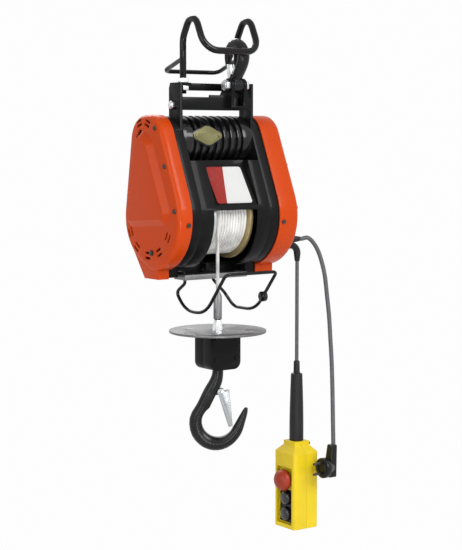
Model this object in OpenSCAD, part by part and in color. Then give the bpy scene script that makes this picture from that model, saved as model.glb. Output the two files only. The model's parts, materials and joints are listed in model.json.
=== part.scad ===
// Electric wire rope hoist: two side frames carry a finned motor above a rope drum, with a gear train
// under the left cover, the electrics under the right one, and a hanger and a safety hook on top.
// Axes: +X to the right along the drum, -Y to the front, +Z up. Sizes are counted from the drum's axis,
// and the finished model hangs from the seat of its top hook.

/* [Body outline] */
// Half width of the black body between the two end covers
body_half = 95; // [88:1:105]
// Front radius of the body round the drum
lower_r = 94; // [90:1:104]
// Radius of the body round the motor
upper_r = 45; // [45:1:52]
// Motor axis behind the drum axis
motor_y = 5; // [0:1:10]
// Motor axis above the drum axis
motor_z = 135; // [132:1:145]
// Radius of the body behind the drum
rear_r = 84; // [83:0.5:88]
// Flat run of the crown behind the motor axis
crown_run = 13; // [8:1:18]
// Underside of the feet below the drum axis
foot_drop = 108; // [104:1:116]
// Front edge of the feet, measured forward of the drum axis
foot_front = 20; // [16:1:24]
// Rear edge of the feet
foot_rear = 24; // [20:1:30]

/* [Side frames] */
// Thickness of a side frame's plate
plate_t = 5; // [4:0.5:6]
// Depth of the dished rim outside the plate
rim_depth = 16; // [14:1:20]
// Step from the covers in to the black frames
frame_step = 2; // [1:0.5:3]
// Wall of the dished rim
rim_wall = 5; // [4:0.5:7]
// Top of the towers above the drum axis
tower_top = 236; // [232:1:242]
// Front edge of the towers, forward of the drum axis
tower_front = 34; // [30:1:38]
// Depth of a tower from front to rear
tower_depth = 36; // [32:1:40]
// Thickness of a tower's inward top flange
flange_t = 5; // [4:0.5:6]
// Reach of the top flange inward from the plate
flange_reach = 30; // [26:1:34]

/* [Covers] */
// Depth of the left cover
left_depth = 28; // [27:1:34]
// Depth of the right cover
right_depth = 45; // [42:1:55]
// Wall of the covers
cover_wall = 4; // [3.5:0.5:5]
// Rounding of the covers' outer edges
cover_round = 10; // [8:1:12]
// Rise of the left cover's smooth panel
panel_rise = 9; // [4:1:10]

/* [Drum] */
// Radius of the drum's barrel
barrel_r = 51; // [49:0.5:51.5]
// Diameter of the wire rope
rope_d = 6; // [5:0.5:6]
// Turns of rope in a layer on the barrel
rope_turns = 12; // [10:1:12]
// Layers of rope on the barrel
rope_layers = 3; // [2:1:3]
// Radius of the drum's flanges
drum_flange_r = 77.5; // [74:0.5:78.5]
// Thickness of a drum flange
drum_flange_t = 6.5; // [4:0.5:7]
// Drum's middle to the right of the body's middle
drum_mid = 4.5; // [3:0.5:6]
// Radius of the drum's shaft
drum_shaft_r = 10; // [8:0.5:11]
// Half width of the rope window in the front guard
window_half = 47.5; // [40:0.5:52]
// Top edge of the rope window above the drum axis
window_top = 14; // [8:1:18]

/* [Motor] */
// Radius over the motor's cooling fins
fin_r = 44; // [42:0.5:44]
// Depth of the grooves between fins
fin_depth = 6; // [4:0.5:7]
// Spacing of the fins
fin_pitch = 15; // [14:0.5:16]
// Thickness of a fin
fin_t = 6; // [4:0.5:9]
// Radius of the motor's bore
motor_bore_r = 34; // [32:0.5:35]
// Radius of the armature
armature_r = 22; // [18:0.5:23]
// Radius of the motor's shaft
motor_shaft_r = 5; // [4:0.5:5]

/* [Gear train] */
// Teeth of every pinion
pinion_teeth = 14; // [13:1:15]
// Teeth of both intermediate wheels
wheel_teeth = 49; // [46:1:50]
// Teeth of the drum's wheel
drum_teeth = 56; // [52:1:58]
// Module of the motor stage
module_1 = 1.25; // [1.2:0.05:1.3]
// Module of the middle stage
module_2 = 1.5; // [1.45:0.05:1.55]
// Module of the drum stage
module_3 = 2; // [1.95:0.05:2.1]
// Radius of the intermediate pins
gear_pin_r = 5; // [4:0.5:5.5]

/* [Hanger and top hook] */
// Radius of the hanger's rod
hanger_r = 6; // [5:0.5:7]
// Half spacing of the hanger's two posts
post_half = 58.5; // [56:0.5:62]
// Crown of the hanger above the drum axis
hanger_top = 348; // [338:1:358]
// Front grip bar above the drum axis
grip_z = 290; // [284:1:296]
// Front grip bar, forward of the drum axis
grip_y = 80; // [78:1:88]
// Radius of the thin rear bar
rear_bar_r = 4; // [3:0.5:5]
// Top hook to the right of the drum's middle
hook_x = 35; // [30:1:36]
// Top hook's seat radius
seat_r = 14; // [13:0.5:14.5]
// Seat's centre above the clevis bolt
seat_rise = 50; // [49:1:56]
// Radius of the clevis bolt
clevis_bolt_r = 6; // [5:0.5:6.5]

/* [Hook block] */
// Radius of the limit disc
disc_r = 86; // [70:1:90]
// Thickness of the limit disc
disc_t = 4; // [3:0.5:5]
// Limit disc's upper face below the drum axis
disc_drop = 198; // [195:1:210]
// Width of the hook block
block_w = 64; // [60:1:74]
// Depth of the hook block
block_d = 50; // [48:1:60]
// Height of the hook block
block_h = 65; // [65:1:75]
// Bowl radius of the load hook
bowl_r = 28; // [26:0.5:29]
// Bowl's centre below the hook block
bowl_drop = 95; // [93:1:104]
// Radius of the load hook's shank
shank_r = 10; // [9:0.5:11]
// Rest turn of the load hook on its swivel
hook_turn = -36; // [-180:1:180]

/* [Limit bail] */
// Radius of the bail's wire
bail_r = 3; // [2.5:0.25:3.5]
// Half spacing of the bail's two loops
bail_half = 55; // [50:1:57]
// Bail's front bar, forward of the drum axis
bail_front = 136; // [126:1:140]
// Lowest point of the loops below the drum axis
bail_drop = 167; // [160:1:170]

/* [Pendant] */
// Width of the pendant control
pendant_w = 62; // [58:1:66]
// Depth of the pendant control
pendant_d = 58; // [54:1:62]
// Height of the pendant's case
pendant_h = 163; // [160:1:176]
// Wall of the pendant's case
pendant_wall = 3; // [2.5:0.25:3.5]
// Radius of the red stop button
stop_r = 20; // [17:0.5:20.5]
// Travel of the stop button
stop_travel = 4; // [3:0.5:5]
// Travel of the lift and lower buttons
key_travel = 3.5; // [2.5:0.5:4]

/* [Cables] */
// Radius of the power cord
cord_r = 4; // [3.5:0.25:4.5]
// Radius of the pendant's cable
pendant_cable_r = 3.5; // [3:0.25:4]
// Radius of the plug's pins
plug_pin_r = 2.4; // [2:0.1:2.5]
// Length of the plug's pins
plug_pin_l = 19; // [17:0.5:20]
// Spacing of the plug's pins
plug_pitch = 19; // [18:0.5:20]

/* [Hidden] */
$fn = 48;
arc_steps = 16;
fit = 0.05;
run_gap = 0.4;
seat_gap = 0.2;
backlash = 0.2;
pressure_angle = 25;

foot_rise = 20;
foot_z = -foot_drop;
lower_c = [0, 0];
upper_c = [motor_y, motor_z];
crown_c = [motor_y + crown_run, motor_z];

plate_out = body_half - rim_depth;
plate_in = plate_out - plate_t;
tower_rear = tower_depth - tower_front;
tower_slope = 9;
flange_front = 24;
post_y = -tower_front + tower_depth * 0.6;
wound_r = barrel_r + rope_layers * rope_d;
fall_x = drum_mid - 4.5 * rope_d;
fall_y = rope_d / 2 - wound_r;
hook_y = -41;

beam_top = tower_top - 25;
beam_h = 23;
beam_t = 5;
clevis_z = beam_top + 21;
clevis_t = 6;
hook_half = 10;
bowl_z = clevis_z + seat_rise;

barrel_half = rope_turns * rope_d / 2 + 0.5;
drum_flange_out = barrel_half + drum_flange_t;

stage_1 = [-plate_out - 11, -plate_out - 3];
stage_2 = [stage_1[0] - 11, stage_1[0] - 2];
stage_3 = [stage_2[0] - 15, stage_2[0] - 3];
reach_1 = (pinion_teeth + wheel_teeth) / 2 * module_1;
reach_2 = (pinion_teeth + wheel_teeth) / 2 * module_2;
reach_3 = (pinion_teeth + drum_teeth) / 2 * module_3;
second_lean = 18;
second_c = reach_3 * [-sin(second_lean), cos(second_lean)];
first_c = meet(second_c, reach_2, upper_c, reach_1);

fall_top = -sqrt(pow(wound_r + run_gap, 2) - pow(wound_r - rope_d, 2));
ferrule_top = -130;
ferrule_l = 50;
disc_z = -disc_drop;
block_top = disc_z - disc_t;
block_z = block_top - block_h;
eye_pin_z = block_top - 15;
eye_pin_r = 6;
bowl_c = [0, block_z - bowl_drop];

bail_pivot = [-8, -94];
bail_pin_r = bail_r + 0.5;
guide_bar = [-31, -22, -111, -102];
channel_front = 4;
channel_rear = 22;
channel_z = [-106, -84];

left_face = body_half + left_depth;
right_face = body_half + right_depth;
power_gland = [-58, -45];
power_gland_l = 26;
elbow = [-36, -58];
elbow_l = 40;
elbow_drop = 30;
gland_r = 8;
pendant_c = [right_face + elbow_l, elbow[0]];
pendant_top = -425;
pendant_bottom = pendant_top - pendant_h;
sleeve_top = -274;
shoulder_z = pendant_top - 22;
stop_z = -497;
key_z = [-532, -562.5];
key_r = 13;

// Route of the power cord from its gland down to the plug
power_route = [
    [right_face + power_gland_l + run_gap, power_gland[0], power_gland[1]],
    [right_face + power_gland_l + 8, power_gland[0], power_gland[1]], [184, -61.5, -43.5],
    [194, -65, -52], [203, -68, -67], [210, -70, -86], [216, -73, -114], [219, -76, -150], [222, -79, -190],
    [223, -82, -232], [224, -85, -276], [223, -89, -328], [222, -92, -380], [221, -95, -430]
];
plug_c = [205, -95, -470];

// Vector and curve helpers

function unit(v) = v / norm(v);
function arc(c, r, from, to) = [
    for (i = [0 : arc_steps]) let (a = from + (to - from) * i / arc_steps) c + r * [cos(a), sin(a)]
];
function heading(from, to) = atan2(to[1] - from[1], to[0] - from[0]);
function tangent_angle(c1, r1, c2, r2, side) =
    heading(c1, c2) + side * acos((r1 - r2) / norm(c2 - c1));
function meet(a, ra, b, rb) =
    let (
        l = norm(b - a),
        k = (ra * ra - rb * rb + l * l) / (2 * l),
        h = sqrt(ra * ra - k * k),
        d = (b - a) / l
    )
    a + d * k + [d[1], -d[0]] * h;
function corner(a, b, c, r, steps) =
    let (
        d1 = unit(a - b),
        d2 = unit(c - b),
        half = acos(d1 * d2) / 2,
        centre = b + unit(d1 + d2) * r / sin(half),
        first = b + d1 * r / tan(half) - centre,
        last = b + d2 * r / tan(half) - centre,
        sweep = 180 - 2 * half
    )
    [
        for (i = [0 : steps])
            centre + (first * sin(sweep * (1 - i / steps)) + last * sin(sweep * i / steps)) / sin(sweep)
    ];
function bent(points, radii, steps) = concat(
    [points[0]],
    [
        for (i = [1 : len(points) - 2])
            each corner(points[i - 1], points[i], points[i + 1], radii[i - 1], steps)
    ],
    [points[len(points) - 1]]
);
function tangents(path) = [
    for (i = [0 : len(path) - 1])
        unit(path[min(i + 1, len(path) - 1)] - path[max(i - 1, 0)])
];
function carry(ts, us) =
    len(us) == len(ts) ? us
    : let (t = ts[len(us)], u = us[len(us) - 1])
        carry(ts, concat(us, [unit(u - (u * t) * t)]));
function square_to(t) = abs(t[2]) < 0.9 ? unit(cross([0, 0, 1], t)) : unit(cross([1, 0, 0], t));
function tube_rings(path, r, sides) =
    let (ts = tangents(path), us = carry(ts, [square_to(ts[0])]))
    [
        for (i = [0 : len(path) - 1])
            [
                for (k = [0 : sides - 1])
                    path[i] + r * (us[i] * cos(360 * k / sides) + cross(ts[i], us[i]) * sin(360 * k / sides))
            ]
    ];
function spline(a, b, c, d, t) =
    0.5 * (2 * b + (c - a) * t + (2 * a - 5 * b + 4 * c - d) * t * t + (3 * b - a - 3 * c + d) * t * t * t);
function smooth(points, steps) = concat(
    [
        for (i = [0 : len(points) - 2], k = [0 : steps - 1])
            let (before = points[max(i - 1, 0)], after = points[min(i + 2, len(points) - 1)])
                spline(before, points[i], points[i + 1], after, k / steps)
    ],
    [points[len(points) - 1]]
);

// Skin over a row of rings, each ring counted right-handed about its direction of travel
module skin(rings) {
    sides = len(rings[0]);
    rows = len(rings);
    polyhedron(
        points = [for (r = rings) each r],
        faces = concat(
            [[for (k = [0 : sides - 1]) k]],
            [
                for (i = [0 : rows - 2], k = [0 : sides - 1])
                    each [
                        [i * sides + k, (i + 1) * sides + k, (i + 1) * sides + (k + 1) % sides],
                        [i * sides + k, (i + 1) * sides + (k + 1) % sides, i * sides + (k + 1) % sides]
                    ]
            ],
            [[for (k = [sides - 1 : -1 : 0]) (rows - 1) * sides + k]]
        ),
        convexity = 10
    );
}

module tube(path, r, sides) {
    skin(tube_rings(path, r, sides));
}

// Forged hook in the XZ plane: stations are [across, up, half width, half thickness]
module forged(stations, sides) {
    rows = smooth(stations, 3);
    ts = tangents([for (s = rows) [s[0], 0, s[1]]]);
    skin([
        for (i = [0 : len(rows) - 1])
            let (s = rows[i], t = ts[i], side = [t[2], 0, -t[0]])
            [
                for (k = [0 : sides - 1])
                    [s[0], 0, s[1]] + side * s[2] * cos(360 * k / sides) + [0, s[3] * sin(360 * k / sides), 0]
            ]
    ]);
}

// Placing helpers

module hung() {
    translate([-hook_x, -hook_y, -bowl_z]) children();
}

module along_x(from, to) {
    translate([from, 0, 0]) rotate([90, 0, 90]) linear_extrude(to - from) children();
}

module rod_x(from, to, at, r) {
    translate([from, at[0], at[1]]) rotate([0, 90, 0]) cylinder(h = to - from, r = r);
}

module rod_y(from, to, x, z, r) {
    translate([x, from, z]) rotate([-90, 0, 0]) cylinder(h = to - from, r = r);
}

module ring_x(from, to, at, outer, inner) {
    difference() {
        rod_x(from, to, at, outer);
        rod_x(from - 1, to + 1, at, inner);
    }
}

module turned_x(at) {
    translate([0, at[0], at[1]]) rotate([0, 90, 0]) rotate_extrude() children();
}

module box(x, y, z) {
    translate([x[0], y[0], z[0]]) cube([x[1] - x[0], y[1] - y[0], z[1] - z[0]]);
}

module both_sides() {
    children();
    mirror([1, 0, 0]) children();
}

// Body outline in the plane square to the drum, inset by d

function front_angle(d) = tangent_angle(lower_c, lower_r - d, upper_c, upper_r - d, 1);
function rear_angle(d) = tangent_angle(lower_c, rear_r - d, crown_c, upper_r - d, -1);
function foot_corner(d) = [foot_rear - 0.5 * d, foot_z + d];
function under_angle(d) = tangent_angle(lower_c, rear_r - d, foot_corner(d), 0, 1);
function belly_angle(d) = tangent_angle(lower_c, rear_r - d, [0, d - lower_r], 0, 1);

function top_arc(d) = concat(
    arc(crown_c, upper_r - d, rear_angle(d), 90),
    arc(upper_c, upper_r - d, 90, front_angle(d))
);
function footed_outline(d) = concat(
    top_arc(d),
    arc(lower_c, lower_r - d, front_angle(d), 180 + asin((foot_drop - foot_rise - d) / (lower_r - d))),
    [[-foot_front + d, foot_z + foot_rise + d], [-foot_front + d, foot_z + d], foot_corner(d)],
    arc(lower_c, rear_r - d, under_angle(d), rear_angle(d))
);
function round_outline(d) = concat(
    top_arc(d),
    arc(lower_c, lower_r - d, front_angle(d), 270),
    arc(lower_c, rear_r - d, belly_angle(d), rear_angle(d))
);

// Side frames

module side_frame() {
    difference() {
        union() {
            along_x(plate_in, body_half) polygon(footed_outline(frame_step));
            tower();
        }
        along_x(plate_out, body_half + 1) polygon(footed_outline(frame_step + rim_wall));
        rod_x(plate_in - 1, plate_out + 1, lower_c, bearing_r(drum_shaft_r) + fit);
        rod_x(plate_in - 1, plate_out + 1, upper_c, motor_shaft_r + 4);
        rod_x(plate_in - 1, plate_out + 1, tower_bolt, 5);
    }
}

tower_bolt = [post_y, 197];

function bearing_r(shaft) = shaft + 7;

module tower() {
    along_x(plate_in, plate_out)
        polygon([
            [-tower_front, motor_z], [tower_rear, motor_z], [tower_rear, tower_top - tower_slope],
            [tower_rear - 4, tower_top], [-tower_front, tower_top]
        ]);
    difference() {
        box([plate_out - flange_reach, plate_out], [-flange_front, tower_rear - 4],
            [tower_top - flange_t, tower_top]);
        translate([post_half, post_y, tower_top - flange_t - 1])
            cylinder(h = flange_t + 2, r = hanger_r + seat_gap);
    }
}

module left_side_frame() {
    color("#26272a") difference() {
        mirror([1, 0, 0]) side_frame();
        for (c = [first_c, second_c]) rod_x(-plate_out - 1, -plate_in + 1, c, gear_pin_r + fit);
        rod_x(-plate_out - 1, -plate_in + 1, bail_pivot, bail_pin_r + fit);
    }
}

module right_side_frame() {
    color("#26272a") side_frame();
}

// Covers

function cover_ring(x, d) = [for (p = round_outline(d)) [x, p[0], p[1]]];

module cover_solid(from, depth, inset, round) {
    steps = 4;
    skin(concat(
        [cover_ring(from, inset)],
        [
            for (k = [0 : steps])
                let (a = 90 * k / steps)
                    cover_ring(body_half + depth - round + round * sin(a), inset + round * (1 - cos(a)))
        ]
    ));
}

module foot_block(depth) {
    along_x(body_half, body_half + depth)
        polygon([
            [-foot_front, -lower_r + 16], [-foot_front, foot_z], [foot_rear, foot_z],
            rear_r * [cos(under_angle(0)), sin(under_angle(0))], lower_c
        ]);
}

module cover_shell(depth) {
    difference() {
        union() {
            cover_solid(body_half, depth, 0, cover_round);
            foot_block(depth - cover_round * 0.6);
        }
        cover_solid(body_half - 1, depth - cover_wall, cover_wall, cover_round - cover_wall);
    }
}

panel_corners = [
    [crown_c[0] + 2, motor_z - 11, 28], [motor_y - 1, motor_z - 13, 20], [-45, 10, 22], [50, 4, 22]
];
panel_bevel = 11;

module raised_panel() {
    hull() {
        for (c = panel_corners) {
            rod_x(left_face - 1, left_face, [c[0], c[1]], c[2], $fn = 32);
            rod_x(left_face, left_face + panel_rise, [c[0], c[1]], c[2] - panel_bevel, $fn = 32);
        }
    }
}

// Vent slots lie in pairs, one outside the other, round the foot and the crown of the cover
vent_r = [62, 71];
vent_angles = [-25, -53, -86, -118, -152];
crown_vent_r = [29, 36.5];
crown_vent_angles = [68, 115];
vent_w = 4.5;
vent_l = 16;
vent_from = left_face - cover_wall - 3;
sight_hole = [26.5, 147];
sight_hole_r = 7.5;

module vent_pair(c, radii, a) {
    for (r = radii)
        translate([vent_from, c[0], c[1]]) rotate([a, 0, 0])
            translate([0, r - vent_w / 2, -vent_l / 2]) cube([left_face + 1 - vent_from, vent_w, vent_l]);
}

module vent_slots() {
    for (a = vent_angles) vent_pair(lower_c, vent_r, a);
    for (a = crown_vent_angles) vent_pair(crown_c, crown_vent_r, a);
    rod_x(vent_from, left_face + panel_rise + 1, sight_hole, sight_hole_r);
}

module left_cover() {
    color("#d8401f") mirror([1, 0, 0]) difference() {
        union() {
            cover_shell(left_depth);
            raised_panel();
        }
        vent_slots();
    }
}

module right_cover() {
    color("#d8401f") difference() {
        cover_shell(right_depth);
        rod_x(right_face - cover_wall - 1, right_face + 1, power_gland, gland_r + fit);
        rod_x(right_face - cover_wall - 1, right_face + 1, elbow, gland_r + fit);
    }
}

// Screws on the rim of the covers' faces, and through their skirts
screw_r = 4;
screw_h = 2.5;
skirt_x = body_half + 8;
rim_inset = 12;
face_bolt = [-9, -61];

function rim_point(c, r, a) = c + r * [cos(a), sin(a)];
function on_flank(c1, r1, c2, r2, a, t) = rim_point(c1, r1, a) * (1 - t) + rim_point(c2, r2, a) * t;

module skirt_screw(at, angle) {
    translate([skirt_x, at[0], at[1]]) rotate([angle, 0, 0]) rotate([-90, 0, 0])
        cylinder(h = screw_h, r = screw_r);
}

face_screws = [
    rim_point(upper_c, upper_r - rim_inset, 140),
    on_flank(lower_c, lower_r - rim_inset, upper_c, upper_r - rim_inset, front_angle(0), 0.5),
    rim_point(lower_c, lower_r - rim_inset, 170)
];

module skirt_screws() {
    skirt_screw(rim_point(lower_c, lower_r, 186), 186);
    skirt_screw(rim_point(lower_c, rear_r, -5), -5);
    skirt_screw(rim_point(crown_c, upper_r, 12), 12);
}

module cover_screws() {
    color("#55585c") {
        both_sides() skirt_screws();
        for (p = face_screws) rod_x(-left_face - screw_h, -left_face, p, screw_r);
        for (p = face_screws) rod_x(right_face, right_face + screw_h, p, screw_r);
        rod_x(-left_face - 4, -left_face, face_bolt, 5, $fn = 6);
    }
}

// Guards between the side frames

guard_t = 3;
ledge_z = 100;
label_low = [-87, 20];
label_high = [-43, 90];
label_x = [-44, 50];

module front_strip() {
    intersection() {
        difference() {
            polygon(round_outline(frame_step));
            polygon(round_outline(frame_step + guard_t));
        }
        translate([-150, foot_z + foot_rise]) square([150 - foot_front - 4, ledge_z - foot_z - foot_rise]);
    }
}

module drum_guard() {
    color("#1d1e20") {
        difference() {
            along_x(-plate_in, plate_in) front_strip();
            box([-window_half, window_half], [-150, 0], [-150, window_top]);
            box(label_x, [-150, 0], [label_low[1] + 2, ledge_z + 1]);
        }
        along_x(label_x[0], label_x[1]) polygon([
            label_low, label_low + [guard_t * 1.3, 0], label_high + [4, 0], [label_high[0] + 4, ledge_z],
            [label_high[0], ledge_z], label_high
        ]);
        for (x = [label_x[0] - guard_t, label_x[1]])
            along_x(x, x + guard_t) intersection() {
                polygon(round_outline(frame_step + 1));
                polygon([
                    label_low - [8, 6], label_low + [guard_t, -6], label_high + [4, 0],
                    [label_high[0] + 4, ledge_z], [-90, ledge_z]
                ]);
            }
        difference() {
            along_x(-plate_in, plate_in) translate([-57, ledge_z - guard_t]) square([32, guard_t]);
            box(label_x, [-80, label_high[0] + 2], [ledge_z - guard_t - 1, ledge_z + 1]);
        }
    }
}

module rear_guard() {
    color("#1d1e20") along_x(-plate_in, plate_in) intersection() {
        difference() {
            polygon(footed_outline(frame_step));
            polygon(footed_outline(frame_step + guard_t));
        }
        translate([channel_rear, -97]) square([100, 187]);
    }
}

tie_places = [[-32, 88], [62, 62]];
tie_r = 4;

module tie_rods() {
    color("#8d9094") for (p = tie_places) rod_x(-plate_in, plate_in, p, tie_r);
}

// Bottom: channel with the bail's lug, and the bright bar that the rope runs in front of

lug_x = [-12, -4];

module base_channel() {
    color("#1d1e20") difference() {
        union() {
            box([-plate_in, plate_in], [channel_front, channel_rear], [channel_z[1] - 4, channel_z[1]]);
            box([-plate_in, plate_in], [channel_front, channel_front + 4], channel_z);
            box([-plate_in, plate_in], [channel_rear - 4, channel_rear], channel_z);
            box(lug_x, [bail_pivot[0] - bail_pin_r - 4, channel_front + 1],
                [bail_pivot[1] - bail_pin_r - 4, channel_z[1]]);
        }
        rod_x(lug_x[0] - 1, lug_x[1] + 1, bail_pivot, bail_pin_r + fit);
    }
}

bar_half = 68;
bracket_t = 4;

module guide_bar() {
    color("#a9acb0") {
        box([-bar_half, bar_half], [guide_bar[0], guide_bar[1]], [guide_bar[2], guide_bar[3]]);
        both_sides()
            box([bar_half - bracket_t, bar_half], [guide_bar[1] - 1, channel_front],
                [guide_bar[2], guide_bar[3]]);
    }
}

// Top: cross beam with the hook's clevis, hanger, nuts

clevis_half = hook_half + run_gap;
clevis_r = 13;
gusset_rear = post_y + 2;

module top_beam() {
    color("#202124") {
        box([-plate_in, plate_in], [-tower_front, -tower_front + beam_t], [beam_top - beam_h, beam_top]);
        box([-plate_in, plate_in], [-tower_front, tower_rear], [beam_top - beam_t, beam_top]);
        box([flange_reach - plate_out, plate_out - flange_reach], [tower_rear - 8, tower_rear - 3],
            [tower_top - 13, tower_top]);
        for (s = [-1, 1]) difference() {
            along_x(hook_x + (s > 0 ? clevis_half : -clevis_half - clevis_t),
                    hook_x + (s > 0 ? clevis_half + clevis_t : -clevis_half)) {
                translate([hook_y, clevis_z]) circle(r = clevis_r);
                polygon([
                    [hook_y - clevis_r, clevis_z], [hook_y - clevis_r + 4, beam_top - beam_h + 4],
                    [-tower_front + 1, beam_top - beam_h + 4], [-tower_front + 1, beam_top - 1],
                    [gusset_rear, beam_top - 1], [hook_y + clevis_r, clevis_z]
                ]);
            }
            rod_x(hook_x - 40, hook_x + 40, [hook_y, clevis_z], clevis_bolt_r + fit);
        }
        box([hook_x - clevis_half - clevis_t, hook_x + clevis_half + clevis_t],
            [hook_y - clevis_r + 3, -tower_front + 1], [beam_top - beam_h + 4, beam_top - beam_h + 8]);
        along_x(hook_x - clevis_half - clevis_t - 34, hook_x - clevis_half - clevis_t)
            translate([-tower_front, beam_top - 1]) square([beam_t, 5]);
    }
}

loop_y = -43;
hanger_path = bent(
    [
        [-post_half, post_y, tower_top - flange_t - 14], [-post_half, post_y, hanger_top - 34],
        [-post_half, loop_y, hanger_top + 18], [-post_half, -grip_y, grip_z], [post_half, -grip_y, grip_z],
        [post_half, loop_y, hanger_top + 18], [post_half, post_y, hanger_top - 34],
        [post_half, post_y, tower_top - flange_t - 14]
    ],
    [34, 18, 28, 28, 18, 34], 6
);
rear_bar_y = 48;
rear_bar_z = 258;
rear_join_z = 279;
rear_path = bent(
    [
        [-post_half, post_y, rear_join_z], [-post_half, rear_bar_y, rear_bar_z],
        [post_half, rear_bar_y, rear_bar_z], [post_half, post_y, rear_join_z]
    ],
    [12, 12], 4
);

module hanger() {
    color("#1b1c1e") {
        tube(hanger_path, hanger_r, 16);
        tube(rear_path, rear_bar_r, 12);
    }
}

nut_r = 11;
nut_h = 8;

module hanger_nuts() {
    color("#b9bcc0") both_sides() for (z = [tower_top, tower_top - flange_t - nut_h])
        translate([post_half, post_y, z]) difference() {
            cylinder(h = nut_h, r = nut_r, $fn = 6);
            translate([0, 0, -1]) cylinder(h = nut_h + 2, r = hanger_r + seat_gap);
        }
}

module top_bolts() {
    out = clevis_half + clevis_t;
    color("#b9bcc0") {
        rod_x(hook_x - out - 10, hook_x + out, [hook_y, clevis_z], clevis_bolt_r);
        rod_x(hook_x + out, hook_x + out + 7, [hook_y, clevis_z], clevis_bolt_r + 4, $fn = 6);
        rod_x(hook_x - out - 9, hook_x - out, [hook_y, clevis_z], clevis_bolt_r + 4, $fn = 6);
        both_sides() rod_x(plate_in - 5, plate_out + 8, tower_bolt, 5 - fit);
        both_sides() rod_x(plate_out, plate_out + 6, tower_bolt, 8, $fn = 6);
    }
}

// Motor

fin_count = 7;
bell_half = fin_pitch * (fin_count - 1) / 2 + fin_t / 2 + fin_depth;
end_wall = 8;
brush_x = -25;
brush_lift = 11;
brush_half = 24;
brush_r = 17;
brush_tip = 6;
brush_seat = fin_r + 0.5;

// Lozenge of one large circle and two small ones, joined along their common tangents
module lozenge(grow) {
    a = acos((brush_r - brush_tip) / brush_half);
    big = (brush_r + grow) * [cos(a), sin(a)];
    small = [brush_half, 0] + (brush_tip + grow) * [cos(a), sin(a)];
    circle(r = brush_r + grow);
    for (s = [0, 1]) mirror([s, 0]) {
        translate([brush_half, 0]) circle(r = brush_tip + grow);
        polygon([big, [big[0], -big[1]], [small[0], -small[1]], small]);
    }
}

module on_motor_side(turn) {
    translate([brush_x, motor_y, motor_z]) rotate([turn, 0, 0]) rotate([90, 0, 0]) children();
}

module motor_housing() {
    shaft_hole = bearing_r(motor_shaft_r);
    color("#2b2c2f") difference() {
        union() {
            turned_x(upper_c) {
                translate([motor_bore_r - 4, -plate_in])
                    square([fin_r - fin_depth - motor_bore_r + 4, 2 * plate_in]);
                for (i = [0 : fin_count - 1])
                    translate([fin_r - fin_depth - 1, (i - (fin_count - 1) / 2) * fin_pitch - fin_t / 2])
                        square([fin_depth + 1, fin_t]);
                for (s = [-1, 1])
                    translate([shaft_hole + 1, s > 0 ? bell_half : -plate_in])
                        square([fin_r - shaft_hole - 1, plate_in - bell_half]);
            }
            for (turn = [-brush_lift, 180 - brush_lift])
                on_motor_side(turn) linear_extrude(brush_seat) lozenge(2);
        }
        rod_x(-plate_in + end_wall, plate_in - end_wall, upper_c, motor_bore_r);
        rod_x(-plate_in - 1, plate_in + 1, upper_c, shaft_hole + fit);
    }
}

module stator() {
    color("#6e6a60") ring_x(-38, 38, upper_c, motor_bore_r - seat_gap, armature_r + 1.5);
}

module brush_caps() {
    color("#b09a6a") for (turn = [-brush_lift, 180 - brush_lift])
        on_motor_side(turn) translate([0, 0, brush_seat]) {
            linear_extrude(2.5) lozenge(0);
            for (s = [-1, 1]) translate([s * brush_half, 0, 2.5]) cylinder(h = 2, r = 3.5);
        }
}

bearing_w = 7;

module bearings() {
    color("#c9ccd0") both_sides() {
        ring_x(plate_in - bearing_w, plate_in, upper_c, bearing_r(motor_shaft_r), motor_shaft_r + fit);
        ring_x(plate_in, plate_out, lower_c, bearing_r(drum_shaft_r), drum_shaft_r + fit);
    }
}

module armature() {
    color("#8a5a34") {
        ring_x(-34, 34, upper_c, armature_r, motor_shaft_r + fit / 2);
        ring_x(38, 54, upper_c, armature_r * 0.6, motor_shaft_r + fit / 2);
    }
}

motor_phase = heading(upper_c, first_c);

module motor_shaft() {
    color("#b5b8bc") {
        rod_x(stage_1[0] - 1, plate_out + 30, upper_c, motor_shaft_r);
        gear_x(stage_1, upper_c, pinion_teeth, module_1, motor_phase, 0);
    }
}

module motor_fan() {
    color("#3c3d40") {
        ring_x(-58, -48, upper_c, 10, motor_shaft_r + fit / 2);
        for (a = [0 : 45 : 315])
            translate([-57, motor_y, motor_z]) rotate([a, 0, 0]) translate([0, 8, -1]) cube([8, 22, 2]);
    }
}

module brake_coil() {
    color("#474a4f") ring_x(plate_out, plate_out + 17, upper_c, 32, motor_shaft_r + 3);
}

module brake_disc() {
    color("#7d8085") ring_x(plate_out + 17 + run_gap, plate_out + 24, upper_c, 32, motor_shaft_r + fit / 2);
}

// Gears: involute teeth on a common pressure angle, thinned for backlash

function inv(r, base) = r <= base ? 0 : let (a = acos(base / r)) tan(a) * 180 / PI - a;
function tooth_half(r, pitch_r, base, teeth) =
    90 / teeth - backlash / pitch_r * 45 / PI + inv(pitch_r, base) - inv(r, base);
function tooth_rows(pitch_r, base, m) =
    let (low = max(base, pitch_r - m))
    concat([pitch_r - 1.25 * m], [for (k = [0 : 4]) low + (pitch_r + m - low) * k / 4]);
function polar(r, a) = r * [cos(a), sin(a)];
function gear_outline(teeth, m) =
    let (pitch_r = teeth * m / 2, base = pitch_r * cos(pressure_angle), rows = tooth_rows(pitch_r, base, m))
    [
        for (i = [0 : teeth - 1]) each concat(
            [for (r = rows) polar(r, 360 * i / teeth - tooth_half(r, pitch_r, base, teeth))],
            [
                for (k = [len(rows) - 1 : -1 : 0])
                    polar(rows[k], 360 * i / teeth + tooth_half(rows[k], pitch_r, base, teeth))
            ]
        )
    ];

module gear_x(span, at, teeth, m, turn, bore) {
    difference() {
        along_x(span[0], span[1]) translate(at) rotate(turn) polygon(gear_outline(teeth, m));
        if (bore > 0) rod_x(span[0] - 1, span[1] + 1, at, bore);
    }
}

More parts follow.
